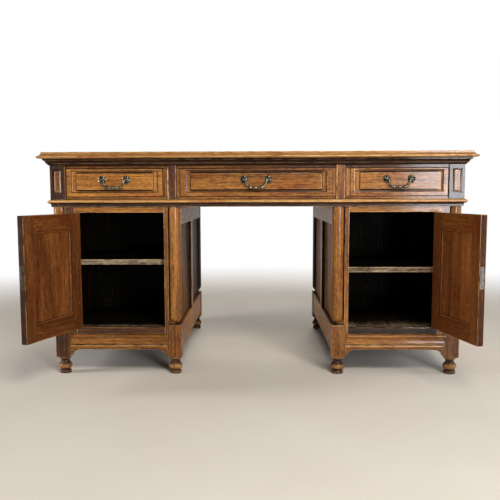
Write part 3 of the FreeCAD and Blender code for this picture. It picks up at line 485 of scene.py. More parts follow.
def swept_profile(*stretches, steps=7):
    """Radius and height up a turning. Each stretch is (height, radius) or, after the first, (height,
    radius, bulge), where the outline swells or hollows by bulge between its ends."""
    course = [(stretches[0][1], stretches[0][0])]
    for before, here in zip(stretches, stretches[1:]):
        bulge = here[2] if len(here) > 2 else 0.0
        count = steps if bulge else 1
        for n in range(1, count + 1):
            share = n / count
            radius = before[1] + (here[1] - before[1]) * share + bulge * math.sin(math.pi * share)
            course.append((radius, before[0] + (here[0] - before[0]) * share))
    return course


def turned(course, place, out=Vector((0, 0, 1)), sides=40):
    """Lathe work that stands up, or out of a drawer's face."""
    side, up = Vector((1, 0, 0)), Vector((0, abs(out.z), abs(out.y)))
    rings = []
    for radius, reach in course:
        ring = [side * (radius * math.cos(t)) + up * (radius * math.sin(t)) for t in turns_of(sides)]
        rings.append([place + point + out * reach for point in ring])
    return lofted(rings)


FOOT_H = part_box("feet")[1].z
FOOT = swept_profile(
    (0.0, 0.0195),
    (0.0012, 0.0207),
    (0.0075, 0.0210, 0.0006),
    (0.0095, 0.0196),
    (0.0125, 0.0172, -0.0006),
    (0.0145, 0.0176),
    (0.0365, 0.0196, 0.0057),
    (0.0385, 0.0180),
    (0.0520, 0.0185, -0.0034),
    (0.0530, 0.0206),
    (0.0585, 0.0206, 0.0014),
    (FOOT_H, 0.0195),
)
NECK_R, BUN_R = 0.0186, 0.0222  # painted shade lies nearer the axis than one, and a painted highlight past the other
COLLAR_FROM = 0.0535
feet = Work()
for faces in solids_of("feet"):
    low, high = corners_of(faces)
    middle = (low + high) / 2

    def in_hollows(point):
        """Painted shade in the neck and under the bun, and a painted highlight where the bun and
        the collar stand out.
        """
        reach = math.hypot(point.x - middle.x, point.y - middle.y)
        if reach > BUN_R or point.z > COLLAR_FROM:
            return 0.06
        return -0.34 if reach < NECK_R else -0.10

    feet.add(turned(FOOT, Vector((middle.x, middle.y, 0))), along=2, tone=-0.06, arris=0, tint=in_hollows)
feet.made("turned_feet", handled_oak, "carcass", "oak", "feet")

# ---- Corner posts ----
# Each post is one length of oak: a square foot block, and above it a three-quarter round shaft that
# runs out in a tongue at the block. The square left behind it is grooved for the side panels.

POST_SQUARE = 0.050
POST_CORE = 0.044  # the square behind the shaft ends this far from the outer faces
SHAFT_AXIS = 0.023
SHAFT_R = 0.0225
SHAFT_QUIRK = 0.012  # the core's shoulder beside the shaft, behind the outer face
BLOCK_TOP = 0.176
BLOCK_EASED = 0.0006  # round its foot
BLOCK_CHAMFER = (0.0025, 0.0022)  # round its top: down, and in
TONGUE = 0.026
TONGUE_R = 0.006  # radius of the shaft where the tongue meets the block
TONGUE_STEPS = 12
PEDESTAL_LOW, PEDESTAL_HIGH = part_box("posts")
KNEEHOLE = min(abs(corner.x) for faces in solids_of("posts") for corner in corners_of(faces))


def shaft_section(radius):
    """Outline of a post above its block, as distances inwards from its two outer faces: a round of
    this radius, and the square behind it."""
    inner = POST_CORE - SHAFT_AXIS
    shoulder = SHAFT_AXIS - SHAFT_QUIRK
    corner = math.atan2(-shoulder, inner)
    start = math.pi / 2 - corner
    round_part = corner + 2 * math.pi - start
    count = int(round_part / math.radians(3))
    turns = [corner, math.pi / 4, start] + [start + round_part * n / count for n in range(1, count)]
    outline = []
    for turn in turns:
        way = (math.cos(turn), math.sin(turn))
        reach = 0.0
        if max(way) > 1e-6:
            sides = [inner / c for c in way if c > 1e-6] + [shoulder / -c for c in way if c < -1e-6]
            reach = min(sides)
        reach = max(reach, radius)
        if max(way) > 0:
            reach = min(reach, inner / max(way))
        outline.append([SHAFT_AXIS + reach * c for c in way])
    return outline


def shaft_radius(height):
    """Drawn in to a point above the block, and full from the top of the tongue."""
    share = min((height - BLOCK_TOP) / TONGUE, 1.0)
    return TONGUE_R + (SHAFT_R - TONGUE_R) * math.sin(share * math.pi / 2) ** 1.2


def oblong(x0, x1, y0, y1, z):
    return [Vector((x, y, z)) for x, y in ((x0, y0), (x1, y0), (x1, y1), (x0, y1))]


INSIDE_SHADE = -0.6  # painted shade on the sides that face the inside of a pedestal, which were also never polished
INSIDE_Y, INSIDE_X = 0.038, 0.016  # how far those lie behind a pedestal's faces and sides


def facing_inside(point):
    """Painted shade on what looks into a pedestal."""
    from_face = min(abs(point.y - PEDESTAL_LOW.y), abs(point.y - PEDESTAL_HIGH.y))
    from_side = min(abs(point.x) - KNEEHOLE, PEDESTAL_HIGH.x - abs(point.x))
    return INSIDE_SHADE if from_face > INSIDE_Y and from_side > INSIDE_X else 0.0


def outside(point):
    """How far an arris is rubbed: not at all inside a pedestal."""
    return 1.0 + facing_inside(point) / -INSIDE_SHADE


posts = Work()
block_levels = (  # up, and in
    (FOOT_H, BLOCK_EASED),
    (FOOT_H + BLOCK_EASED, 0),
    (BLOCK_TOP - BLOCK_CHAMFER[0], 0),
    (BLOCK_TOP, BLOCK_CHAMFER[1]),
)
shaft_levels = [BLOCK_TOP + TONGUE * n / TONGUE_STEPS for n in range(TONGUE_STEPS + 1)] + [PEDESTAL_HIGH.z]
for faces in solids_of("posts"):
    low, high = corners_of(faces)
    left, in_front = low.x < 0, low.y < 0
    at_end = low.x == PEDESTAL_LOW.x or high.x == PEDESTAL_HIGH.x
    outer_x, inwards_x = (low.x, 1) if left == at_end else (high.x, -1)
    outer_y, inwards_y = (low.y, 1) if in_front else (high.y, -1)
    rings = []
    for z, drawn in block_levels:
        (x0, x1), (y0, y1) = ((at + drawn, at + POST_SQUARE - drawn) for at in (low.x, low.y))
        rings.append(oblong(x0, x1, y0, y1, z))
    shade = -0.12 if not (in_front and at_end) else -0.34 if left else -0.22
    posts.add(lofted(rings), along=2, tone=shade, arris=0.0011)
    rings = []
    for z in shaft_levels:
        section = shaft_section(shaft_radius(z))
        rings.append([Vector((outer_x + inwards_x * u, outer_y + inwards_y * v, z)) for u, v in section])

    def behind_shaft(point):
        """Painted shade on the core and the back of the shaft, which look at a panel or into the pedestal."""
        behind = abs(point.y - outer_y)
        return -0.5 if behind > (POST_CORE - 0.0006 if in_front else SHAFT_AXIS) else facing_inside(point)

    posts.add(lofted(rings), along=2, tone=-0.02 if left else -0.08, arris=0, tint=behind_shaft)
posts.made("corner_posts", polished_oak, "carcass", "oak", "posts")

# ---- Pedestal sides ----
# Two panels in each of the four sides, held loose in grooves between the posts, a muntin and two
# rails, so that they can shrink and swell. The rails are tenoned and glued into the posts.

side_oak = oak("side_oak", POLISHED, 0.44, 0.85, polish=0.5)
panel_oak = oak("panel_oak", POLISHED, 0.50, 0.9, polish=0.2, boards=0.085)
MUNTIN_W = 0.2  # more than a muntin's width, less than a rail's length
AT_EDGE = 0.0004  # as near to a board's edge as its eased arris


def side_tone(low, left, right):
    """The right side of the kneehole is painted lighter than the left, as painted light; the outer sides are
    as the left one.
    """
    return right if 0 < low.x < KNEEHOLE + 0.06 else left


def side_rail(low, high):
    def dark_edges(point):
        """Painted shade on the edges that stand round the panels."""
        at_edge = high.y - low.y < MUNTIN_W and min(point.y - low.y, high.y - point.y) < AT_EDGE
        return -0.55 if at_edge else facing_inside(point)

    return {"tone": side_tone(low, 0.04, 0.27), "tint": dark_edges}


def side_panel(low, high):
    return {"tone": side_tone(low, -0.20, 0.18), "tint": facing_inside}


def boards(name, material, slot, node, each=None, body="carcass", swing=None, **work):
    """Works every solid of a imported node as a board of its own. each says, from the corners of a
    board, what is worked on that one alone."""
    piece = Work(swing)
    for faces in solids_of(node):
        piece.add(faces, **work, **(each(*corners_of(faces)) if each else {}))
    piece.made(name, material, body, slot, node)


boards("side_rails_and_muntins", side_oak, "oak", "side_frames", side_rail, arris=0.0007, rubs=outside)
boards("side_panel_boards", panel_oak, "oak", "side_panels", side_panel, along=2, arris=0.0005)

# ---- Pedestal insides ----
# The bottoms, tops and middle boards of the pedestals, the runners and bearers, the shelves and the
# boards inside the frieze: dry oak that was never polished, its colour painted nearly black as the
# shade inside the pedestals.

DRY_AND_SHADED = (
    (0.0, (0.001, 0.001, 0.001)),
    (0.40, (0.002, 0.002, 0.001)),
    (0.65, (0.008, 0.006, 0.004)),
    (0.85, (0.150, 0.108, 0.070)),
    (1.0, (0.330, 0.250, 0.170)),
)
dry_oak = oak("dry_oak", DRY_AND_SHADED, 0.8, 0.9, polish=0.1)
FLOOR_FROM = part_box("face_frames")[0].y + 0.022
FLOOR_BELOW = 0.25
LIT_REACH = (0.060, 0.14)  # how far in each cupboard's floor has painted light, left and right


def worn_front(point):
    """Each cupboard's floor is painted lighter in front, as painted light falling in, the right one further
    in.
    """
    share = 1 - (point.y - FLOOR_FROM) / LIT_REACH[point.x > 0]
    return 0.38 * max(0.0, share) if point.z < FLOOR_BELOW else 0.0


floor_cuts = [(1, FLOOR_FROM + reach) for reach in (*LIT_REACH, LIT_REACH[1] / 2)]
lit_front = {"rubs": 0.0, "tint": worn_front, "cuts": floor_cuts}
boards("inside_boards", dry_oak, "inner_oak", "pedestal_boards", **lit_front)
boards("runners_and_bearers", dry_oak, "inner_oak", "runners")
boards("frieze_inside_boards", dry_oak, "inner_oak", "frieze_boards")


def shelf(low, high):
    def pale_edge(point):
        """The front edge of a shelf, where light falls, is painted paler than the rest of it."""
        return 0.48 if point.y < low.y + 0.0008 else 0.0

    return {"tint": pale_edge}


boards("cupboard_shelves", dry_oak, "inner_oak", "shelves", shelf, along=0, tone=-0.06, arris=0.0016)

# ---- Face frames ----
# Stiles and rails round the cupboards in front and the drawers behind, tenoned together and glued
# between the posts, flush with the posts' shafts.

STILE_W = 0.1  # more than a stile's width, less than a rail's length
BOTTOM_RAIL_BELOW = 0.2


def frame_member(low, high):
    """The bottom rails are darkest, the right one most, and of the stiles the left ones."""
    left = low.x <= 0
    if high.z < BOTTOM_RAIL_BELOW:
        return {"tone": -0.27 if left else -0.37}
    if high.x - low.x > STILE_W:
        return {"tone": 0.04}
    return {"tone": -0.16 if left else -0.08}


boards("pedestal_face_frames", polished_oak, "oak", "face_frames", frame_member, arris=0.0008)

# ---- Plinths ----
# Oak, glued between the post blocks: a base moulding under each bottom rail and, below it, an apron
# whose lower edge is cut to a bracket at each end.

APRON_TOP = 0.105
APRON_PALE = 0.004


def faded_down(point):
    """A painted highlight on the apron just under the moulding, and painted shade towards its lower edge."""
    if point.z > APRON_TOP + 0.001:
        return 0.0
    return 0.10 if point.z > APRON_TOP - APRON_PALE else -0.11


boards("plinth_mouldings", polished_oak, "oak", "plinths", along=0, tone=-0.04, arris=0.0010, tint=faded_down)

# ---- Waist moulding ----
# A torus over a fillet in four mitred lengths of oak, glued round the foot of the frieze and carried
# over the pedestals and across the kneehole.

WAIST_LOW, WAIST_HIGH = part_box("waist_moulding")
NOSE, FILLET = 0.62, 0.22  # up the moulding, as shares of its height


def dirty_below(point):
    """A painted highlight over the nose of the moulding, and painted shade under it."""
    share = (point.z - WAIST_LOW.z) / (WAIST_HIGH.z - WAIST_LOW.z)
    if share > NOSE:
        return 0.26
    return -0.30 if share > FILLET else -0.36


def lengthwise(start, end):
    """True of the long arrises of a mitred length, false of the edges of its mitres."""
    run = (end - start).normalized()
    return max(abs(run.x), abs(run.y)) > 0.99


mitred = {"arris": 0.0010, "eases": lengthwise}
boards("waist_lengths", handled_oak, "oak", "waist_moulding", tint=dirty_below, **mitred)

# ---- Frieze ----
# Oak rails, muntins and fielded ends, tenoned together, with a corner block planted on each corner
# and a plain raised divider on each muntin.

FRONT_LOW, FRONT_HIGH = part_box("front_frieze_left_drawer")
DRAWER_GAP = 0.001
PANEL_FROM = (0.0135, 0.020)  # a corner block's raised panel, from the block's sides and its ends
RIM_IN = 0.002  # between here and the panel lie the rim and the ground that are sunk round it
BLOCK_W = 0.04  # more than a divider's width, less than a block's


def at_openings(point):
    """Painted shade, nearly black, in the gaps round the openings of the drawers, and painted shadow of the
    cornice above them.
    """
    below, above = FRONT_LOW.z - DRAWER_GAP, FRONT_HIGH.z + DRAWER_GAP
    if min(abs(point.z - below), abs(point.z - above)) < 0.0008:
        return -0.7
    return -0.16 if point.z > FRONT_HIGH.z else 0.0


frieze_work = {"tone": 0.04, "arris": 0.0016, "rubs": 0.0, "tint": at_openings}
boards("frieze_rails_and_ends", polished_oak, "oak", "frieze_frame", **frieze_work)


def frieze_block(low, high):
    def inset(point):
        """How far a point lies inside the outline of the block's face, across and up."""
        in_x = min(point.x - low.x, high.x - point.x)
        in_y = min(point.y - low.y, high.y - point.y)
        return max(in_x, in_y), min(point.z - low.z, high.z - point.z)

    def on_panel(point):
        return all(reach > edge for reach, edge in zip(inset(point), PANEL_FROM))

    def off_rim(start, end):
        """Spares the rim of the sunk ground."""
        middle = (start + end) / 2
        return min(inset(middle)) < RIM_IN or on_panel(middle)

    def pale_panel(point):
        return 0.28 if on_panel(point) else 0.0

    def rubbed_left(point):
        """The dividers' left arrises carry a painted highlight, paler and glossier than the rest."""
        return 1.0 if point.x < (low.x + high.x) / 2 else 0.2

    if min(high.x - low.x, high.y - low.y) > BLOCK_W:
        return {"tone": -0.32, "arris": 0.0012, "eases": off_rim, "rubs": 0.5, "tint": pale_panel}
    return {"tone": -0.20 if low.x < 0 else -0.09, "arris": 0.0020, "rubs": rubbed_left}


block_work = {"along": 2, "each": frieze_block}
boards("frieze_corner_blocks_and_dividers", polished_oak, "oak", "frieze_blocks", **block_work)

# ---- Cornice ----
# The bed mould that carries the overhang of the top: four mitred lengths of oak, darker than the
# rest and glued round the head of the frieze.

cornice_work = {"tone": -0.46, "arris": 0.0011, "eases": lengthwise, "rubs": 0.5}
boards("cornice_lengths", side_oak, "oak", "cornice", **cornice_work)

# ---- Top ----
# A mitred and moulded oak border round five core boards, which carry a skiver of green leather. It
# is glued down flush with the border and tooled with two gilt lines.

boards("top_border_lengths", handled_oak, "oak", "top_border", tone=0.14, **mitred)
boards("top_core_boards", dry_oak, "inner_oak", "top_core", along=0, arris=0.0005)

LEATHER_LOW, LEATHER_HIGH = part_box("top_leather")
TOOLED = 0.014  # outer gilt line from the leather's edge
TOOLED_BAND = 0.011  # from there to the inner one


def leather():
    """Dyed skiver with two tooled gilt lines round it."""
    finish = Finish("green_leather")
    place = finish.node("TexCoord", out=3)
    x, y, _ = finish.parts(place)
    half = (LEATHER_HIGH - LEATHER_LOW) / 2
    middle = (LEATHER_HIGH + LEATHER_LOW) / 2
    from_edges = {0: half.x - abs(x - middle.x), 1: half.y - abs(y - middle.y)}
    inside = finish.node("Math", {"operation": "MINIMUM"}, from_edges)
    outer_line = abs(inside - TOOLED).between(0.0011, 0.0006)
    inner_line = abs(inside - TOOLED - TOOLED_BAND).between(0.0008, 0.0004)
    lines = finish.node("Math", {"operation": "MAXIMUM"}, {0: outer_line, 1: inner_line})
    gilt = lines * finish.noise(place, 4.0, 0.6, 60.0).between(0.34, 0.48)
    cloud = finish.noise(place, 4.0, 0.6, 5.0)
    cell = finish.node("TexVoronoi", {"feature": "DISTANCE_TO_EDGE"}, {"Vector": place, "Scale": 520.0})
    pitted = cell.between(0.0, 0.22)
    dyed = finish.mix(cloud, (0.006, 0.022, 0.012, 1), (0.016, 0.048, 0.026, 1))
    dyed = finish.mix((1 - pitted) * 0.5, dyed, (0.004, 0.012, 0.007, 1))
    colour = finish.mix(gilt, dyed, (0.75, 0.50, 0.18, 1))
    height = pitted * (1 - lines) - lines * 0.6
    inputs = {
        "Base Color": colour,
        "Roughness": 0.52 - gilt * 0.2 + (cloud - 0.5) * 0.2,
        "Metallic": gilt,
        "Normal": finish.bump(height, 0.0004),
    }
    return finish.done(finish.node("BsdfPrincipled", {}, inputs))


frame["nodes"]["top_leather"].data.materials[0] = leather()

# ---- Doors ----
# Two framed doors of a redder oak, each with a panel that is flat inside and raised outside, and a
# small bead planted round it on both faces. They hang on their outer stiles and stand open.

REDDER = (
    (0.0, (0.010, 0.003, 0.001)),
    (0.30, (0.070, 0.020, 0.004)),
    (0.55, (0.190, 0.060, 0.012)),
    (0.80, (0.360, 0.140, 0.035)),
    (1.0, (0.620, 0.360, 0.150)),
)
door_oak = oak("door_oak", REDDER, 0.40, 0.95, polish=0.6, chips=0.02)
door_panel_oak = oak("door_panel_oak", REDDER, 0.42, 0.95, polish=0.6, boards=0.062, chips=0.03)
BEAD_IN, BEAD_OUT = (0.0060, 0.0048), (0.0034, -0.0045)  # width and rise, inside and outside the door
BEAD_STEPS = 6
PANEL_EDGE_T = 0.007  # the panel's thickness at its edges, where the outer bead lies
RAIL_H = 0.2  # more than a rail's height, less than a stile's


def planted_bead(x0, x1, z0, z1, y, size, rise):
    """Four mitred lengths of quarter-round in a rectangular recess whose floor is at y; rise is
    positive towards the inside of a shut door."""
    turns = [math.pi / 2 * n / BEAD_STEPS for n in range(BEAD_STEPS + 1)]
    profile = [(0.0, 0.0)] + [(size * math.cos(t), rise * math.sin(t)) for t in turns]
    lengths = []
    for side in range(4):
        ends = []
        for end in (0, 1):
            corner = (side + end) % 4
            cx, inward_x = (x0, 1) if corner in (0, 3) else (x1, -1)
            cz, inward_z = (z0, 1) if corner in (0, 1) else (z1, -1)
            ends.append([Vector((cx + inward_x * u, y + v, cz + inward_z * u)) for u, v in profile])
        lengths.append(lofted(ends))
    return lengths


def carried(faces, by):
    """The same faces, moved by a matrix."""
    return [[by @ point for point in face] for face in faces]


doors = {}
for side in ("left", "right"):
    body = "door_" + side
    hinge = next(joint for joint in frame["joints"] if joint["child"] == body)
    pivot = Matrix.Translation(Vector(hinge["pos_m"]))
    closing = math.radians(hinge["range_deg"][1])
    swing = pivot @ Matrix.Rotation(closing, 4, Vector(hinge["axis"])) @ pivot.inverted()
    members = solids_of(body + "_frame")
    shut = [corners_of(carried(faces, swing)) for faces in members]
    door_low, door_high = corners_of(shut)
    doors[body] = (swing, door_low, door_high)

    def on_outline(start, end):
        """Only the door's outer arrises are eased; the joints of the framing are flush."""
        for n in (0, 2):
            for edge in (door_low[n], door_high[n]):
                if max(abs(start[n] - edge), abs(end[n] - edge)) < 0.001:
                    return True
        return False

    def edge_tint(point):
        """The door's edges are painted darker than its faces, as painted shade."""
        return -0.22 if min(point.x - door_low.x, door_high.x - point.x) < AT_EDGE else 0.0

    shade = -0.11 if side == "left" else -0.02
    framing = Work(swing)
    work = {"arris": 0.0012, "varied": 0.03, "eases": on_outline, "rubs": 0.5, "tint": edge_tint}
    for faces in members:
        framing.add(faces, tone=shade - 0.05, **work)
    stiles = [box for box in shut if box[1].z - box[0].z > RAIL_H]
    rails = [box for box in shut if box[1].z - box[0].z <= RAIL_H]
    x0, x1 = min(high.x for _, high in stiles), max(low.x for low, _ in stiles)
    z0, z1 = min(high.z for _, high in rails), max(low.z for low, _ in rails)
    back_y = corners_of(carried(sum(solids_of(body + "_panel"), []), swing))[1].y
    beads = planted_bead(x0, x1, z0, z1, back_y, *BEAD_IN)
    beads += planted_bead(x0, x1, z0, z1, back_y - PANEL_EDGE_T, *BEAD_OUT)
    for faces in beads:
        framing.add(carried(faces, swing.inverted()), tone=shade + 0.08, arris=0, varied=0.03)
    framing.made(body + "_stiles_and_rails", door_oak, body, "oak", body + "_frame")
    work = {"swing": swing, "along": 2, "tone": shade + 0.07, "arris": 0.0008, "varied": 0.01}
    boards(body + "_raised_panel", door_panel_oak, "oak", body + "_panel", body=body, **work)

# ---- Hinges ----
# Brass butt hinges, two to a door, let into the stile and the door's edge. Three countersunk screws
# hold each leaf. The brass has darkened and is bright only where it is rubbed.


def aged_metal(name, dark, bright, rough):
    """Cast or rolled metal, dark in its hollows and bright where it is rubbed."""
    finish = Finish(name)
    place = finish.node("TexCoord", out=3)
    cloud = finish.noise(place, 5.0, 0.65, 140.0)
    fine = finish.noise(place, 3.0, 0.6, 900.0)
    proud = finish.node("NewGeometry", out=7).between(0.51, 0.60)
    closed = finish.open_to(0.006)
    rubbed = (cloud.between(0.50, 0.66) * 0.35 + proud * 0.5) * closed
    colour = finish.mix(rubbed, dark, bright)
    colour = finish.mix(closed.between(0.75, 0.25), colour, (0.008, 0.007, 0.005, 1))
    inputs = {
        "Base Color": colour,
        "Metallic": 1.0,
        "Roughness": rough + (cloud - 0.5) * 0.25,
        "Normal": finish.bump(fine * 0.3 + cloud, 0.0003),
    }
    return finish.done(finish.node("BsdfPrincipled", {}, inputs))


hinge_brass = aged_metal("hinge_brass", (0.13, 0.095, 0.045, 1), (0.50, 0.38, 0.18, 1), 0.42)
LEAF_T = 0.0015
LEAF_ARRIS = 0.0002
LEAF_SCREWS = ((0.17, 0.58), (0.5, 0.76), (0.83, 0.58))  # up a leaf and across it, as shares
SCREW_R = 0.0031
SCREW_SLOT = 0.0004  # half the slot's width
SCREW_PROUD, SCREW_SUNK = 0.0003, 0.0004
LOCK_DEEP = 0.03  # less than a lock's depth in the stile, more than a leaf's width


def slab(outline, out, sunk, proud):
    """A flat outline made solid, from a little behind the face that looks out to a little before."""
    return lofted([[point + out * level for point in outline] for level in (-sunk, proud)])


def screw(place, out, up):
    """Two halves of a countersunk head, with the slot between them, on a face that looks out."""
    side = out.cross(up)
    halves = []
    for sign in (-1, 1):
        start = math.asin(SCREW_SLOT / SCREW_R)
        turns = [start + (math.pi - 2 * start) * n / 10 for n in range(11)]
        flat = [side * (SCREW_R * math.cos(t)) + up * (sign * SCREW_R * math.sin(t)) for t in turns]
        halves.append(slab([place + point for point in flat], out, SCREW_SUNK, SCREW_PROUD))
    return halves


def leaf_screws(face_x, low, high, out):
    """Three screws in a leaf, on its face at face_x that looks out, the middle one set further from
    the pin; low and high are the leaf's corners."""
    screws = []
    for up, across in LEAF_SCREWS:
        place = Vector((face_x, low.y + (high.y - low.y) * across, low.z + (high.z - low.z) * up))
        screws += screw(place, Vector((out, 0, 0)), Vector((0, 0.6, 0.8)))
    return screws


fixed_halves = Work()
for faces in solids_of("hinge_leaves"):
    low, high = corners_of(faces)
    outer, back_x = (1, high.x) if low.x > 0 else (-1, low.x)
    for half in [faces] + leaf_screws(back_x - outer * LEAF_T, low, high, -outer):
        fixed_halves.add(half, arris=LEAF_ARRIS)
fixed_halves.made("hinge_halves_on_the_stiles", hinge_brass, "carcass", "brass", "hinge_leaves")

locks = {}
for body, (swing, door_low, door_high) in doors.items():
    outer, edge_x = (1, door_high.x) if door_low.x > 0 else (-1, door_low.x)
    halves = Work(swing)
    for faces in solids_of(body + "_brass"):
        low, high = corners_of(carried(faces, swing))
        if high.x - low.x > LOCK_DEEP:
            locks[body] = (faces, low, high)
            continue
        halves.add(faces, arris=LEAF_ARRIS)
        for half in leaf_screws(edge_x, low, high, outer):
            halves.add(carried(half, swing.inverted()), arris=LEAF_ARRIS)
    halves.made(body + "_hinge_halves", hinge_brass, body, "brass", body + "_brass")

# ---- Locks ----
# A steel mortise lock in each door's free stile: only its plate shows, screwed in flush with the
# edge, with the bolt's end in it, and a thin brass rim round the keyhole outside.

lock_steel = aged_metal("lock_steel", (0.035, 0.028, 0.024, 1), (0.34, 0.32, 0.30, 1), 0.45)
lock_iron = aged_metal("lock_iron", (0.02, 0.018, 0.016, 1), (0.11, 0.10, 0.09, 1), 0.5)
# The keyhole's inlay is near black: painted shade standing in for the hole's depth.
keyhole_dark = oak("keyhole_dark", ((0.0, (0.001, 0.001, 0.001)), (1.0, (0.004, 0.003, 0.002))), 0.8, 0.5)
LOCK_ARRIS = 0.0003
BOLT_HALF = (0.0012, 0.0035)  # half of what shows of the bolt, out of the edge and across it
BOLT_UP = (0.006, 0.020)  # its ends, above the middle of the plate
KEYHOLE_IN = 0.024  # keyhole from the door's free edge
RIM_X, RIM_Z, RIM_R = 0.0042, 0.0092, 0.0010
HOLE_R, HOLE_UP = 0.0018, 0.0022
SLOT_HALF, SLOT_DOWN = 0.0014, 0.0058
INLAY_SUNK, INLAY_PROUD = 0.0003, 0.00015


def keyhole_rim(centre, out):
    """A half-round rim on an oval, standing out from a flat face."""
    rings = []
    for turn in turns_of(28):
        across = Vector((math.cos(turn), 0, math.sin(turn)))
        middle = centre + Vector((RIM_X * math.cos(turn), 0, RIM_Z * math.sin(turn)))
        half_round = [(RIM_R * math.cos(t), RIM_R * 0.8 * math.sin(t)) for t in turns_of(12)[:7]]
        rings.append([middle + across * u + out * v for u, v in half_round])
    return lofted(rings, endless=True)


def keyhole(centre, out):
    """A round hole over a tapered slot, as a thin inlay painted near black as the hole's shade."""
    turns = [math.radians(-60 + 300 * n / 16) for n in range(17)]
    outline = [(HOLE_R * math.cos(t), HOLE_R * math.sin(t) + HOLE_UP) for t in turns]
    outline += [(-SLOT_HALF, -SLOT_DOWN), (SLOT_HALF, -SLOT_DOWN)]
    return slab([centre + Vector((x, 0, z)) for x, z in outline], out, INLAY_SUNK, INLAY_PROUD)


for body, (faces, low, high) in locks.items():
    swing, door_low, _ = doors[body]
    outer, edge_x = (1, low.x) if low.x > 0 else (-1, high.x)
    y, z = (low.y + high.y) / 2, (low.z + high.z) / 2
    lock = Work(swing)
    lock.add(faces, arris=LOCK_ARRIS)
    deep, wide = BOLT_HALF
    ends = [oblong(edge_x - deep, edge_x + deep, y - wide, y + wide, z + up) for up in BOLT_UP]
    lock.add(carried(lofted(ends), swing.inverted()), arris=LOCK_ARRIS)
    for share in (0.10, 0.90):
        place = Vector((edge_x, y, low.z + (high.z - low.z) * share))
        for half in screw(place, Vector((-outer, 0, 0)), Vector((0, 0.8, 0.6))):
            lock.add(carried(half, swing.inverted()), arris=LEAF_ARRIS)
    metal = lock_iron if body == "door_left" else lock_steel
    lock.made(body + "_mortise_lock", metal, body, "brass", body + "_brass")
    centre, out = Vector((edge_x + outer * KEYHOLE_IN, door_low.y, z)), Vector((0, -1, 0))
    rim = (keyhole_rim(centre, out), "_keyhole_rim", hinge_brass, "brass")
    hole = (keyhole(centre, out), "_keyhole", keyhole_dark, "oak")
    for faces, name, material, slot in (rim, hole):
        trim = Work(swing)
        trim.add(carried(faces, swing.inverted()), arris=0)
        trim.made(body + name, material, body, slot)

# ---- Drawers ----
# Twelve drawers: a moulded front with a sunk channel round a raised flat, where the stain has lain
# thick and shade is painted in, and a dovetailed box behind it in paler, unpolished oak.

BOX = (
    (0.0, (0.050, 0.030, 0.016)),
    (0.4, (0.150, 0.095, 0.050)),
    (0.7, (0.290, 0.195, 0.110)),
    (1.0, (0.430, 0.310, 0.190)),
)
box_oak = oak("box_oak", BOX, 0.6, 0.7, polish=0.2)
EDGE_W, BORDER_W = 0.003, 0.021  # in from the front's outline: its edges, and the border in the face
FACE_DEEP, LIP_DEEP, BEVEL_DEEP = 0.0014, 0.0020, 0.0045  # behind the face, down to the channel's ground
GAP_SHADE, BORDER_TINT = -0.6, -0.05  # painted shade on the edges that look at the carcass, and the border
GROUND_STAIN_AND_SHADE, BEVEL_TINT = -0.34, -0.04  # stain and painted shade in a channel's ground, and stain on the bevel beside it
HIGHLIGHT_TO, HIGHLIGHT_TINT = 0.0345, 0.08  # at its ends a channel's bevel carries a painted highlight as far as this
FRONT_TONES = {"front_frieze_left": 0.10, "front_frieze_mid": -0.01, "front_frieze_right": 0.0}
BACK_TONE = 0.04
drawers = [body for body in frame["bodies"] if body + "_drawer" in frame["nodes"]]
for body in drawers:
    facing, nearest = (-1, 0) if body.startswith("front") else (1, 1)
    solids = solids_of(body + "_drawer")
    solids.sort(key=lambda faces: facing * corners_of(faces)[nearest].y)
    low, high = corners_of(solids[-1])
    face_y = (low, high)[nearest].y

    def inset(point):
        """How far a point lies inside the front's outline, from its ends and its long edges."""
        return min(point.x - low.x, high.x - point.x), min(point.z - low.z, high.z - point.z)

    def stained(point):
        """Painted shade in the gap round the front, stain and painted shade in its channel, and a
        painted highlight on the channel's ends.
        """
        behind = abs(point.y - face_y)
        if min(inset(point)) < EDGE_W:
            return GAP_SHADE if 0.0003 < behind < 0.010 else 0.0
        if behind < FACE_DEEP:
            return BORDER_TINT if min(inset(point)) < BORDER_W else 0.0
        if behind < LIP_DEEP:
            return GROUND_STAIN_AND_SHADE
        if inset(point)[0] < HIGHLIGHT_TO:
            return HIGHLIGHT_TINT
        return GROUND_STAIN_AND_SHADE if behind > BEVEL_DEEP else BEVEL_TINT

    def rubbed_inside(point):
        return 0.5 if min(inset(point)) > EDGE_W else 0.0

    highlight_ends = (low.x + HIGHLIGHT_TO, high.x - HIGHLIGHT_TO)
    cuts = [(0, end + aside) for end in highlight_ends for aside in (-0.0004, 0.0004)]
    work = {"arris": 0.0014, "varied": 0.02, "rubs": rubbed_inside, "tint": stained, "cuts": cuts}
    front, box = Work(), Work()
    front.add(solids[-1], along=0, tone=FRONT_TONES.get(body, BACK_TONE), **work)
    front.made(body + "_front", polished_oak, body, "oak", body + "_drawer")
    for faces in solids[:-1]:
        box.add(faces)
    box.made(body + "_box", box_oak, body, "oak", body + "_drawer")

# ---- Drawer handles ----
# Cast brass, dark with age: two five-petalled rosettes with the ball-ended posts that carry the
# bail, and a swan-necked bail with leaves swelling towards a bead in the middle.

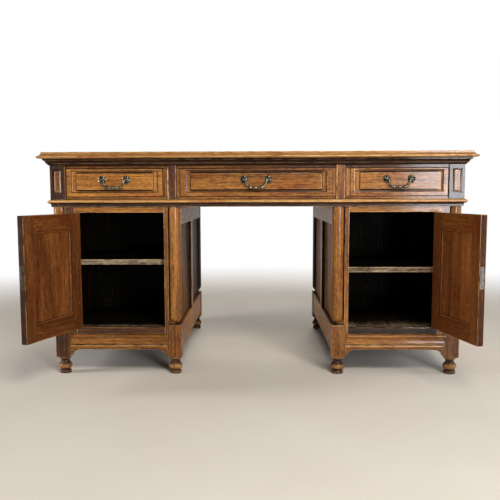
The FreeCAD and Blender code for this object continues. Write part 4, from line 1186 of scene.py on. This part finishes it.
old_brass = aged_metal("old_brass", (0.035, 0.030, 0.020, 1), (0.56, 0.51, 0.36, 1), 0.27)
PIVOT_OUT, PIVOT_HALF = 0.014, 0.042  # the bail's pivots, from the drawer's face and from its middle
ROSETTE_R, ROSETTE_DOME = 0.0145, 0.0042
PETAL_CUT = 0.16  # depth of the notches between the petals, as a share of the radius
FURROW, BOSS = 0.0016, 0.0022  # the hollow between two petals, and the boss in the middle
HANDLE_POST = swept_profile(
    (0.003, 0.0052), (0.006, 0.0030, -0.0006), (0.0098, 0.0026), (0.0186, 0.0008, 0.0030)
)
BAIL = (  # outwards from the middle, up from the pivots, and half the thickness, in millimetres
    (46.0, 0.0, 1.7),
    (40.0, 0.0, 1.7),
    (37.8, -0.5, 2.6),
    (36.8, -4.5, 2.5),
    (34.6, -12.0, 2.4),
    (31.0, -19.0, 2.7),
    (26.0, -24.2, 3.9),
    (20.5, -27.2, 5.4),
    (16.0, -27.8, 4.9),
    (13.0, -27.2, 3.0),
    (10.2, -26.6, 3.2),
    (8.2, -26.6, 4.6),
    (6.0, -27.0, 3.0),
    (3.2, -27.6, 5.2),
    (0.0, -27.9, 6.0),
)


def rosette(centre, out):
    """Five petals round a boss, closed flat behind."""
    rings = []
    for n in range(9):
        share = 1 - n / 9
        dome = ROSETTE_DOME * math.sqrt(1 - share * share * 0.93) + BOSS * math.exp(-((share / 0.3) ** 2))
        ring = []
        for turn in turns_of(50):
            petal = abs(math.cos(2.5 * turn))
            radius = ROSETTE_R * share * (1 - PETAL_CUT + PETAL_CUT * petal**0.7)
            flat = Vector((radius * math.cos(turn), 0, radius * math.sin(turn)))
            ring.append(centre + flat + out * max(dome - FURROW * (1 - petal) * share, 0.0004))
        rings.append(ring)
    backing = [point - out * ((point - centre).dot(out)) for point in rings[0]]
    return lofted([backing] + rings)


def swan_neck(centre):
    """The bail hanging straight down from its pivots at both sides of centre."""
    points = [Vector((x, z, r)) / 1000 for x, z, r in BAIL]
    points += [Vector((-p.x, p.y, p.z)) for p in reversed(points[:-1])]
    points = [points[0], *points, points[-1]]
    smooth = []
    for before, here, there, after in zip(points, points[1:], points[2:], points[3:]):
        for t in (0.0, 0.25, 0.5, 0.75):
            bend = (there - before) * t + (2 * before - 5 * here + 4 * there - after) * t * t
            smooth.append(here + (bend + (3 * here - before - 3 * there + after) * t**3) / 2)
    smooth.append(points[-1])
    rings = []
    for before, here, after in zip(smooth[:1] + smooth, smooth, smooth[1:] + smooth[-1:]):
        run = after - before
        toward = Vector((run.x, 0, run.y)).normalized()
        across, deep = Vector((toward.z, 0, -toward.x)), Vector((0, 1, 0))
        middle = centre + Vector((here.x, 0, here.y))
        ring = [(across * math.cos(t) + deep * math.sin(t)) * here.z for t in turns_of(12)]
        rings.append([middle + point for point in ring])
    return lofted(rings)


for body in drawers:
    low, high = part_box(body + "_rosettes")
    facing, face_y = (-1, high.y) if body.startswith("front") else (1, low.y)
    out = Vector((0, facing, 0))
    pivot_z = (low.z + high.z) / 2
    middle_x = sum(corner.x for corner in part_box(body + "_bail")) / 2
    mounts, bail = Work(), Work()
    for side in (-1, 1):
        centre = Vector((middle_x + side * PIVOT_HALF, face_y, pivot_z))
        mounts.add(rosette(centre, out), arris=0)
        mounts.add(turned(HANDLE_POST, centre, out, sides=20), arris=0)
    mounts.made(body + "_cast_rosettes", old_brass, body, "brass", body + "_rosettes")
    bail.add(swan_neck(Vector((middle_x, face_y, pivot_z)) + out * PIVOT_OUT), arris=0)
    bail.made(body + "_swan_neck_bail", old_brass, body + "_handle", "brass", body + "_bail")

low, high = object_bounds()
